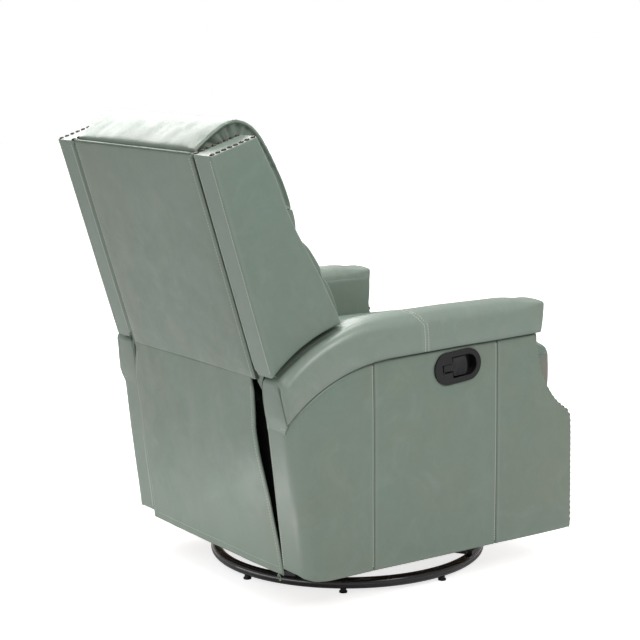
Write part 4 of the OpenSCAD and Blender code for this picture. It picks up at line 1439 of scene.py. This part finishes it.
# ------------------------------------------------------------------ lumbar back cushion
def back_cushion(body="backrest"):
    fr = [[214, 506], [201, 535], [194, 575], [199, 615], [212, 655], [230, 692], [247, 724], [264, 750], [282, 778], [301, 811], [313, 842.2]]
    crv = spl(fr, 80)[::-1]                        # top to bottom
    lower = arc2(RC, 246, 76, 60, 10)
    backp = np.array([[352, 512], [404, 690], [449, 840]])
    prof = crisp(closed_profile(np.vstack([crv, lower, backp]), 112), [(313, 842.2), (449, 840)])
    cen = np.array([330.0, 690.0])
    d = prof - cen
    dirn = d / np.linalg.norm(d, axis=1, keepdims=True)
    front = (prof[:, 0] < 342) & (prof[:, 1] > 508) & ((prof[:, 0] - 200) < (prof[:, 1] - 500) * 0.62)
    n = len(prof)
    XE, R = 254.0, 6.0
    th = np.linspace(0, math.pi / 2, 6)
    ends = [(XE - R + R * math.cos(a), R * (1 - math.sin(a))) for a in th]
    main = np.linspace(XE - R, -(XE - R), 64)[1:-1]
    seq = ends + [(x, 0.0) for x in main] + [(-x, i) for x, i in ends[::-1]]
    rings = []
    for x, inset in seq:
        t = abs(x) / XE
        P = prof - dirn * inset * np.clip((843 - prof[:, 1:]) / 40, 0.1, 1)
        P[:, 0] -= 1.0 * front * t ** 6
        rings.append(np.concatenate([np.full((n, 1), x), P], 1))
    S = np.array(rings)
    # two sewn channels across the lumbar and a seam under the roll
    zz = S[..., 2]
    for zc, deep, wide in ((788, 12.0, 19.0), (700, 7.5, 9.0), (598, 7.5, 9.0)):
        wob = zc + 5 * np.sin(S[..., 0] / 90.0) * (zc < 750)
        dz = np.abs(zz - wob)
        g = deep * np.exp(-(dz / wide) ** 2) * front[None, :]
        S[..., 1] += g * 0.94
        S[..., 2] -= g * 0.2
    cap0 = [S[0] + (S[0].mean(0) - S[0]) * q + np.array([p, 0, 0]) for q, p in ((0.1, 0.6), (0.3, 1.0), (0.6, 1.2), (0.85, 1.2))]
    cap1 = [S[-1] + (S[-1].mean(0) - S[-1]) * q - np.array([p, 0, 0]) for q, p in ((0.1, 0.6), (0.3, 1.0), (0.6, 1.2), (0.85, 1.2))]
    S = np.concatenate([np.array(cap0[::-1]), S, np.array(cap1)], 0)
    o = loft("back_cushion", S, M_SEAT, body)
    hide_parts("back_cushion")
    co = np.array([v.co for v in o.data.vertices], float) * 1000 - np.array([0, YM, 0])
    tail = np.clip(((co[:, 1] - 200) - (co[:, 2] - 500) * 0.62) / 30, 0, 1)
    groove = np.maximum(np.exp(-((co[:, 2] - 700) / 7) ** 2), np.exp(-((co[:, 2] - 598) / 7) ** 2))
    pin = np.clip(tail + groove + np.clip((np.abs(co[:, 0]) - 240) / 10, 0, 1) + np.clip((co[:, 2] - 832) / 8, 0, 1) + np.clip((520 - co[:, 2]) / 10, 0, 1), 0, 1)
    inflate(o, 4.0, 14.0, pin, 18, -0.02, 12, 0.6)
    subdiv(o)
    paint(o, "seam", np.zeros(len(co)))
    # painted shade in the two sewn channels
    paint(o, "crease", 0.5 * groove * (1 - tail))
    b = tree_of(o)
    rows = []
    for zc in (700, 598):
        for off in (-5.0, 5.0):
            x = np.linspace(-240, 240, 150)
            yv = 170 + 0 * x
            P = np.stack([x, yv, zc + 5 * np.sin(x / 90.0) + off], -1)
            rows.append(hug(b, P, (0, 1, 0), 0.2, 120))
    stitches("back_cushion_stitching", rows, body, 6.4, 4.6, 0.5)
    return o


back_cushion()


# ------------------------------------------------------------------ seat cushion
def seat_cushion(body="seat"):
    fr = [[-352, 365], [-370, 369], [-380, 380], [-384, 400], [-384.5, 430], [-383.5, 455], [-382, 466.5], [-379, 474], [-369, 485], [-350, 491.5], [-335, 494]]
    crv = spl(fr, 52)
    topl = np.array([[-300, 496], [-220, 498], [-120, 499], [0, 498], [100, 496], [170, 494], [222, 492]])
    arc_ = arc2(RC, 238, 73.5, 45, 14)
    bottom = np.array([[328, 354], [200, 353], [0, 353], [-200, 353], [-262, 353], [-270, 366]])
    prof = closed_profile(np.vstack([crv, topl, arc_, bottom]), 150)
    cen = np.array([-40.0, 425.0])
    n = len(prof)
    XE, R = 265.0, 6.0
    th = np.linspace(0, math.pi / 2, 6)
    ends = [(XE - R + R * math.cos(a), R * (1 - math.sin(a))) for a in th]
    main = np.linspace(XE - R, -(XE - R), 58)[1:-1]
    seq = ends + [(x, 0.0) for x in main] + [(-x, i) for x, i in ends[::-1]]
    # inward normals of the profile
    tg = np.roll(prof, -1, 0) - np.roll(prof, 1, 0)
    nn = np.stack([-tg[:, 1], tg[:, 0]], -1)
    nn /= np.linalg.norm(nn, axis=1, keepdims=True)
    if ((cen - prof) * nn).sum() < 0:
        nn = -nn
    up = np.clip((prof[:, 1] - 440) / 40, 0, 1) * (prof[:, 0] < 240)
    frontness = np.clip((-340 - prof[:, 0]) / 30, 0, 1)
    rings = []
    for x, inset in seq:
        P = prof + nn * inset
        t = abs(x) / XE
        crown = 7.0 * (1 - t ** 3.0)
        P = P.copy()
        P[:, 1] += up * crown * np.clip((230 - prof[:, 0]) / 120, 0, 1)
        P[:, 0] += frontness * 1.5 * t ** 6
        rings.append(np.concatenate([np.full((n, 1), x), P], 1))
    S = np.array(rings)
    c0, c1 = S[0].mean(0), S[-1].mean(0)
    cap0 = [S[0] + (c0 - S[0]) * q for q in (0.12, 0.35, 0.65, 0.88)]
    cap1 = [S[-1] + (c1 - S[-1]) * q for q in (0.12, 0.35, 0.65, 0.88)]
    S = np.concatenate([np.array(cap0[::-1]), S, np.array(cap1)], 0)
    o = loft("seat_cushion", S, M_SEAT, body)
    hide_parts("seat_cushion")
    co = np.array([v.co for v in o.data.vertices], float) * 1000 - np.array([0, YM, 0])
    pin = np.clip((385 - co[:, 2]) / 12, 0, 1)
    pin = np.maximum(pin, np.clip((co[:, 1] - 205) / 25, 0, 1))
    pin = np.maximum(pin, np.clip((np.abs(co[:, 0]) - 250) / 8, 0, 1) * 0.9)
    seam_d = np.abs(np.hypot(co[:, 1] + 382, co[:, 2] - 467))
    seamw = np.exp(-(seam_d / 6) ** 2)
    pin = np.maximum(pin, 0.9 * seamw)
    inflate(o, 4.0, 16.0, pin, 18, -0.018, 12, 0.6)
    subdiv(o)
    paint(o, "seam", 0.7 * np.exp(-((co[:, 2] - 467) / 3.0) ** 2) * (co[:, 1] < 200))
    paint(o, "crease", np.zeros(len(co)))
    paint(o, "tan", np.clip((-co[:, 1] - 371) / 6, 0, 1) * np.clip((466 - co[:, 2]) / 4, 0, 1))
    # the seam round the top: front and both sides in one run, with a thin welt
    b = tree_of(o)
    side_y = np.linspace(150, -374, 60)
    xf = np.linspace(-258, 258, 80)
    right_ = np.stack([np.full(60, -268.0), side_y, np.full(60, 467.0)], -1)
    front_ = np.stack([xf, np.full(80, -392.0), np.full(80, 467.0)], -1)
    left_ = np.stack([np.full(60, 268.0), side_y[::-1], np.full(60, 467.0)], -1)
    ra, _ = hug(b, right_, (1, 0, 0), 0.1, 30)
    fa, _ = hug(b, front_, (0, 1, 0), 0.1, 30)
    la, _ = hug(b, left_, (-1, 0, 0), 0.1, 30)
    path = np.vstack([ra, fa, la])
    path = at(path, np.linspace(0, 1, 260))
    for _ in range(3):
        path[1:-1] = 0.25 * path[:-2] + 0.5 * path[1:-1] + 0.25 * path[2:]
    tube("seat_cushion_welt", path, 2.4, M_SEAT, body, 8)
    rows = [hug(b, np.stack([x, np.full_like(x, -360.0), np.full_like(x, 500.0)], -1), (0, 0, -1), 0.1, 60)]
    stitches("seat_cushion_stitching", rows, body, 6.4, 4.6, 0.5)
    return o


seat_cushion()


# ------------------------------------------------------------------ back skirt
def skirt_hw(z):
    return np.interp(z, [80, 96, 144, 195, 250, 295, 340, 390, 446, 498], [270, 271, 267, 261, 257.5, 250.5, 240, 233.5, 240, 247])


def skirt_far(z):
    return np.interp(z, [80, 366, 420, 446, 470, 498], [277, 277, 275, 268, 258, 248])


def back_skirt():
    vs = steps(430, 10, 4, 4)
    us = steps(500, 11, 5, 5)
    v = vs[None, :] * np.ones((len(us), 1))
    u = us[:, None] * np.ones((1, len(vs)))
    z = 76.5 + (505 - 76.5) * v
    yb = 357.0 + (412 - 357) * (z - 80) / (513 - 80)
    hw, hf = skirt_hw(z), skirt_far(z)
    x = np.where(u < 0.5, (2 * u - 1) * hw, (2 * u - 1) * hf)
    dl, dr = x + hw, hf - x
    db, dt = z - 76.5, 505 - z
    P0 = np.stack([x, yb, z], -1)
    folds = 2.4 * fbm(P0 * np.array([1, 1, 0.28]), 120, 2, 41) + 0.9 * fbm(P0 * np.array([1, 1, 0.3]), 44, 2, 43)
    fade = np.clip(np.minimum(dl, dr) / 30, 0.1, 1) * np.clip(dt / 60, 0.15, 1)
    belly = 3.5 * np.sin(np.pi * u) * np.clip(1 - v, 0, 1) ** 0.8
    lift = 4.5 * np.exp(-((z - 300) / 88) ** 2) * np.clip(1 - dl / 190, 0, 1) ** 1.5
    h = folds * fade + belly * np.clip(dr / 120, 0, 1) + lift
    hem = -1.3 * np.exp(-((db - 17) / 2.8) ** 2)
    hem = hem - 1.2 * np.exp(-((dl - 9) / 2.6) ** 2)
    e = edge_drop(dl, dr, db, dt, (2.6, 1.2, 2.6, 2.6))
    x = np.where((u < 0.06) & (v > 0.93), x + (v - 0.93) * 120 * (0.06 - u) / 0.06, x)
    top = np.stack([x, yb + h + hem - e, z], -1)
    bot = np.stack([x, yb + h - 5.6 + np.minimum(e, 2.4), z], -1)
    o = closed("back_skirt", top, bot, M_BACK, None, 1)
    subdiv(o)
    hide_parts("back_skirt")
    n = len(us) * len(vs)
    rub_and_highlight = np.zeros(len(o.data.vertices))
    # painted light: the skirt lighter toward the bottom and toward the -x side
    painted_light_ramp = np.clip((225 - z) / 110, 0, 1) * (0.5 + 0.5 * np.clip((200 - x) / 260, 0, 1))
    rub_and_highlight[:n] = np.clip(np.maximum(0.8 * np.exp(-((dl - 3) / 3.2) ** 2) + 0.8 * np.exp(-((db - 2) / 6) ** 2), painted_light_ramp), 0, 1).ravel()
    paint(o, "seam", rub_and_highlight)
    # painted shade: a darker band across the middle
    painted_shade = np.zeros(len(rub_and_highlight))
    painted_shade[:n] = (0.07 * np.exp(-((z - 320) / 90) ** 2)).ravel()
    paint(o, "crease", painted_shade)
    b = tree_of(o)
    rows = []
    for sx in (-1, 1):
        zz = np.linspace(84, 486, 160)
        P = np.stack([sx * ((skirt_hw(zz) if sx < 0 else skirt_far(zz)) - 9), 357 + 55 * (zz - 80) / 433 + 20, zz], -1)
        rows.append(hug(b, P, (0, -1, 0), 0.1, 50))
    xx = np.linspace(-258, 258, 150)
    P = np.stack([xx, np.full_like(xx, 365.0), np.full_like(xx, 93.5)], -1)
    rows.append(hug(b, P, (0, -1, 0), 0.1, 30))
    s = stitches("back_skirt_stitching", rows, None, 6.4, 4.6, 0.5)
    # pull loop at the lower corner
    t = np.linspace(0, 1, 26)
    yy = 361 + 0 * t
    P = np.stack([-264 - 4.5 * np.sin(2 * np.pi * t), yy + 2.0 * np.cos(2 * np.pi * t), 80 - 12 * (1 - np.cos(2 * np.pi * t)) / 2 * 1.2], -1)
    lp = tube("skirt_pull_loop", P, 1.3, M_BACK, None, 8)
    for q in (o, s, lp):
        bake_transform(q)


back_skirt()


# ------------------------------------------------------------------ black lining behind the skirt
def lining():
    us, vs = steps(540, 14, 2, 2), steps(330, 14, 2, 2)
    u = us[:, None] * np.ones((1, len(vs)))
    v = vs[None, :] * np.ones((len(us), 1))
    x = (2 * u - 1) * 267.4
    z = 86 + 322 * v
    y0 = 344.5 + 12 * (z - 86) / 322 + 1.2 * fbm(np.stack([x, z, z], -1), 90, 2, 61)
    top = np.stack([x, y0, z], -1)
    bot = np.stack([x, y0 - 1.6, z], -1)
    o = closed("rear_lining", top, bot, M_LINING, "chassis", 1)
    subdiv(o)
    return o


lining()


# ------------------------------------------------------------------ footrest cushion
def footrest_cushion(body="footrest"):
    us, vs = steps(532, 12, 14, 14), steps(266, 11, 12, 12)
    u = us[:, None] * np.ones((1, len(vs)))
    v = vs[None, :] * np.ones((len(us), 1))
    x = (2 * u - 1) * 264.5
    z = 91.5 + 263 * v
    # sides pull in between the corners
    x = x * (1 - 0.008 * np.sin(np.pi * v))
    d = [x + 264.5, 264.5 - x, z - 91.5, 354.5 - z]
    d = [np.maximum(k, 0) for k in d]
    e = edge_drop(*d, (14, 14, 12, 12))
    h = 19.5 - e
    g = -5.0 * np.exp(-((z - 223) / 7) ** 2)
    h = h + g * np.clip(np.minimum(d[0], d[1]) / 30, 0, 1)
    top = np.stack([x, -361.5 - h, z], -1)
    bot = np.stack([x, np.full_like(x, -361.3), z], -1)
    o = closed("footrest_cushion", top, bot, M_SEAT, body, 2, None)
    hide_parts("footrest_cushion")
    co = np.array([q.co for q in o.data.vertices], float) * 1000 - np.array([0, YM, 0])
    pin = np.clip((co[:, 1] + 372) / 6, 0, 1)
    pin = np.maximum(pin, 0.9 * np.exp(-((co[:, 2] - 223) / 6) ** 2))
    inflate(o, 4.0, 8.0, pin, 16, -0.018, 12, 0.6)
    subdiv(o)
    paint(o, "seam", np.zeros(len(co)))
    # painted shade in the sewn groove
    paint(o, "crease", 0.4 * np.exp(-((co[:, 2] - 223) / 3) ** 2) * (co[:, 1] < -370))
    b = tree_of(o)
    rows = []
    for off in (-4.8, 4.8):
        xx = np.linspace(-250, 250, 150)
        rows.append(hug(b, np.stack([xx, np.full_like(xx, -395.0), np.full_like(xx, 223 + off)], -1), (0, 1, 0), 0.1, 60))
    stitches("footrest_stitching", rows, body, 6.4, 4.6, 0.5)


footrest_cushion()


# ------------------------------------------------------------------ rocker springs
def rocker_springs():
    """Coils between the deck and the chassis."""
    V, F = [], []
    turns, steps_, sides, wire = 4.5, 130, 10, 2.0
    for sx in (-1, 1):
        for sy in (-1, 1):
            t = np.linspace(0, 1, steps_ + 1)
            a = 2 * np.pi * turns * t
            # the end turns lie flat and close on the seats
            rise = np.interp(t, [0, 0.11, 0.2, 0.8, 0.89, 1], [0, 0.05, 0.15, 0.85, 0.95, 1])
            C = np.stack([13 * np.cos(a), 13 * np.sin(a), 38.6 * rise], -1)
            T = np.gradient(C, axis=0)
            T /= np.linalg.norm(T, axis=1, keepdims=True)
            R = np.stack([np.cos(a), np.sin(a), 0 * a], -1)
            B = np.cross(T, R)
            base = len(V)
            for i in range(steps_ + 1):
                w = wire * (0.55 if i in (0, steps_) else 1.0)
                for k in range(sides):
                    b = 2 * math.pi * k / sides
                    p = C[i] + R[i] * w * math.cos(b) + B[i] * w * math.sin(b)
                    V.append([142 * sx + p[0], 45 * sy + p[1], 89.7 + p[2]])
            for i in range(steps_):
                for k in range(sides):
                    n = (k + 1) % sides
                    q = base + i * sides
                    F.append((q + k, q + n, q + sides + n, q + sides + k))
            F.append(tuple(base + k for k in range(sides))[::-1])
            F.append(tuple(base + steps_ * sides + k for k in range(sides)))
    o = make("rocker_coils", W(np.array(V)), F, M_ZINC, None)
    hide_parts("rocker_springs")
    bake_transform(o)


rocker_springs()


# ------------------------------------------------------------------ release paddle
def paddle():
    """Moulded T-shaped pull: outline in (y to the rear, z across), thickness along x."""
    out = []

    def arcs(cy, cz, r, a, b, n):
        for q in np.radians(np.linspace(a, b, n)):
            out.append((cy + r * math.cos(q), cz + r * math.sin(q)))
    arcs(35.0, 6.3, 2.0, 0, 90, 4)
    arcs(13.5, 10.0, 1.6, 270, 180, 4)
    arcs(8.0, 17.0, 3.8, 0, 90, 6)
    arcs(-19.0, 17.0, 3.8, 90, 150, 5)
    for z in np.linspace(17.5, -17.5, 15):
        out.append((-28.2 + 4.6 * (z / 20.5) ** 2, z))
    arcs(-19.0, -17.0, 3.8, 210, 270, 5)
    arcs(8.0, -17.0, 3.8, 270, 360, 6)
    arcs(13.5, -10.0, 1.6, 180, 90, 4)
    arcs(35.0, -6.3, 2.0, 270, 360, 4)
    O = np.array(out)
    O = at(np.vstack([O, O[:1]]), np.linspace(0, 1, 133))[:-1]
    T = np.roll(O, -1, 0) - np.roll(O, 1, 0)
    T /= np.linalg.norm(T, axis=1, keepdims=True)
    Nn = np.stack([-T[:, 1], T[:, 0]], -1)
    cc = np.array([-3.0, 0.0])
    if (Nn * (cc - O)).sum() < 0:
        Nn = -Nn
    rings = []

    def ring(off, x, q=0.0):
        P = O + Nn * off
        P = P + (cc - P) * q
        rings.append(np.concatenate([np.full((len(P), 1), x) if np.isscalar(x) else x[:, None], P], 1))
    ring(1.0, 349.4, 0.5)
    ring(1.0, 349.4)
    ring(0.3, 349.8)
    ring(0.0, 350.6)
    ring(0.0, 356.0)
    ring(0.25, 357.0)
    ring(0.9, 357.7)
    ring(1.9, 357.8)
    head = np.clip((16 - O[:, 0]) / 8, 0, 1)
    for q, d in ((0.12, 0.5), (0.3, 1.1), (0.5, 1.5), (0.72, 1.7), (0.9, 1.75)):
        P = O + Nn * 1.9
        P = P + (cc - P) * q
        rings.append(np.concatenate([(357.8 - d * head)[:, None], P], 1))
    S = np.array(rings)
    a = math.radians(-4.5)
    y = -38 + S[..., 1] * math.cos(a) - S[..., 2] * math.sin(a)
    z = 490.5 + S[..., 1] * math.sin(a) + S[..., 2] * math.cos(a)
    Q = np.stack([-S[..., 0], y, z], -1)
    o = loft("release_paddle_moulded", Q, M_PLASTIC, "paddle")
    subdiv(o)
    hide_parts("release_paddle")


paddle()


# ------------------------------------------------------------------ carried-over CAD nodes
WOODS = ["rocker_rails", "rocker_cams", "base_rail_left", "base_rail_right", "front_cross_rail", "rear_cross_rail",
         "arm_frame_left", "arm_frame_right", "seat_frame", "back_frame", "footrest_board"]
BLACKS = ["base_ring", "base_cross_bars", "rocker_crossmembers", "spring_lower_seats", "spring_upper_seats",
          "mechanism_plate_left", "mechanism_plate_right", "seat_rail_left", "seat_rail_right", "back_bracket_left",
          "back_bracket_right", "footrest_drive_tube", "footrest_drive_links", "footrest_outer_links",
          "footrest_control_links", "footrest_brackets"]
ZINCS = ["swivel_lower_plate", "swivel_upper_plate", "bearing_balls", "swivel_pin", "mechanism_pins", "handle_pin",
         "latch_lever", "seat_springs"]
PLASTICS = ["base_glides", "handle_bezel", "release_cable", "seat_guide_rollers"]
for names, mat in ((WOODS, M_WOOD), (BLACKS, M_BLACK), (ZINCS, M_ZINC), (PLASTICS, M_PLASTIC)):
    for nme in names:
        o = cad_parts[nme]
        o.data.materials.clear()
        o.data.materials.append(mat)
for nme, w in (("handle_bezel", 1.2), ("base_cross_bars", 1.0), ("rocker_crossmembers", 0.8)):
    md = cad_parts[nme].modifiers.new("soft_edges", "BEVEL")
    md.width = w * 0.001
    md.segments = 3
    md.limit_method = "ANGLE"
    md.angle_limit = math.radians(40)


# ------------------------------------------------------------------ studio
def floor():
    n = 24
    V, F = [], []
    for i in range(n + 1):
        for j in range(n + 1):
            V.append(((i / n - 0.5) * 26, (j / n - 0.5) * 26, 0.0))
    for i in range(n):
        for j in range(n):
            a = i * (n + 1) + j
            F.append((a, a + n + 1, a + n + 2, a + 1))
    me = bpy.data.meshes.new("studio_floor")
    me.from_pydata(V, [], F)
    mat, t, b, co = tree("studio_white")
    t.links.new(n_mix(t, n_noise(t, co, 1.5, 2, 0.5), (0.62, 0.62, 0.62), (0.66, 0.66, 0.66)), b.inputs["Base Color"])
    b.inputs["Roughness"].default_value = 0.9
    b.inputs["Emission Color"].default_value = (1, 1, 1, 1)
    ln = t.nodes.new("ShaderNodeVectorMath")
    ln.operation = "LENGTH"
    t.links.new(co, ln.inputs[0])
    lp = t.nodes.new("ShaderNodeLightPath")
    glow = n_math(t, "MULTIPLY", n_range(t, ln.outputs["Value"], 0.6, 2.2, 0.66, 1.0), lp.outputs["Is Camera Ray"])
    t.links.new(n_math(t, "ADD", glow, 0.10), b.inputs["Emission Strength"])
    me.materials.append(mat)
    o = bpy.data.objects.new("studio_floor", me)
    SCN.collection.objects.link(o)


floor()


def area(name, loc, target, size, power, size_y=None):
    d = bpy.data.lights.new(name, "AREA")
    d.shape = "RECTANGLE" if size_y else "SQUARE"
    d.size = size
    if size_y:
        d.size_y = size_y
    d.energy = power
    o = bpy.data.objects.new(name, d)
    o.location = loc
    o.rotation_mode = "QUATERNION"
    o.rotation_quaternion = (Vector(target) - Vector(loc)).to_track_quat("-Z", "Y")
    SCN.collection.objects.link(o)
    return o


area("top_soft", (0.5, -0.2, 3.2), (0, 0.15, 0.6), 1.4, 46, 1.4)
area("far_rim", (2.6, -0.4, 2.3), (0, 0.2, 0.85), 2.6, 52, 1.5)
area("rear_fill", (-0.4, 1.7, 2.0), (0, 0.4, 0.95), 1.1, 7.5)
area("rear_low", (0.0, 0.62, 0.04), (0.0, 0.27, 0.10), 0.8, 0.70, 0.07)
area("side_fill", (-2.9, 0.0, 2.9), (-0.2, 0, 0.5), 1.6, 58)
area("front_fill", (-0.7, -3.9, 1.7), (0, 0, 0.5), 1.6, 16)
w = bpy.data.worlds.new("studio")
SCN.world = w
w.use_nodes = True
wt = w.node_tree
wt.nodes.clear()
seen, lit = wt.nodes.new("ShaderNodeBackground"), wt.nodes.new("ShaderNodeBackground")
seen.inputs[0].default_value = lit.inputs[0].default_value = (1, 1, 1, 1)
seen.inputs[1].default_value, lit.inputs[1].default_value = 1.0, 0.42
lp, mx, wo = wt.nodes.new("ShaderNodeLightPath"), wt.nodes.new("ShaderNodeMixShader"), wt.nodes.new("ShaderNodeOutputWorld")
wt.links.new(lp.outputs["Is Camera Ray"], mx.inputs[0])
wt.links.new(lit.outputs[0], mx.inputs[1])
wt.links.new(seen.outputs[0], mx.inputs[2])
wt.links.new(mx.outputs[0], wo.inputs[0])
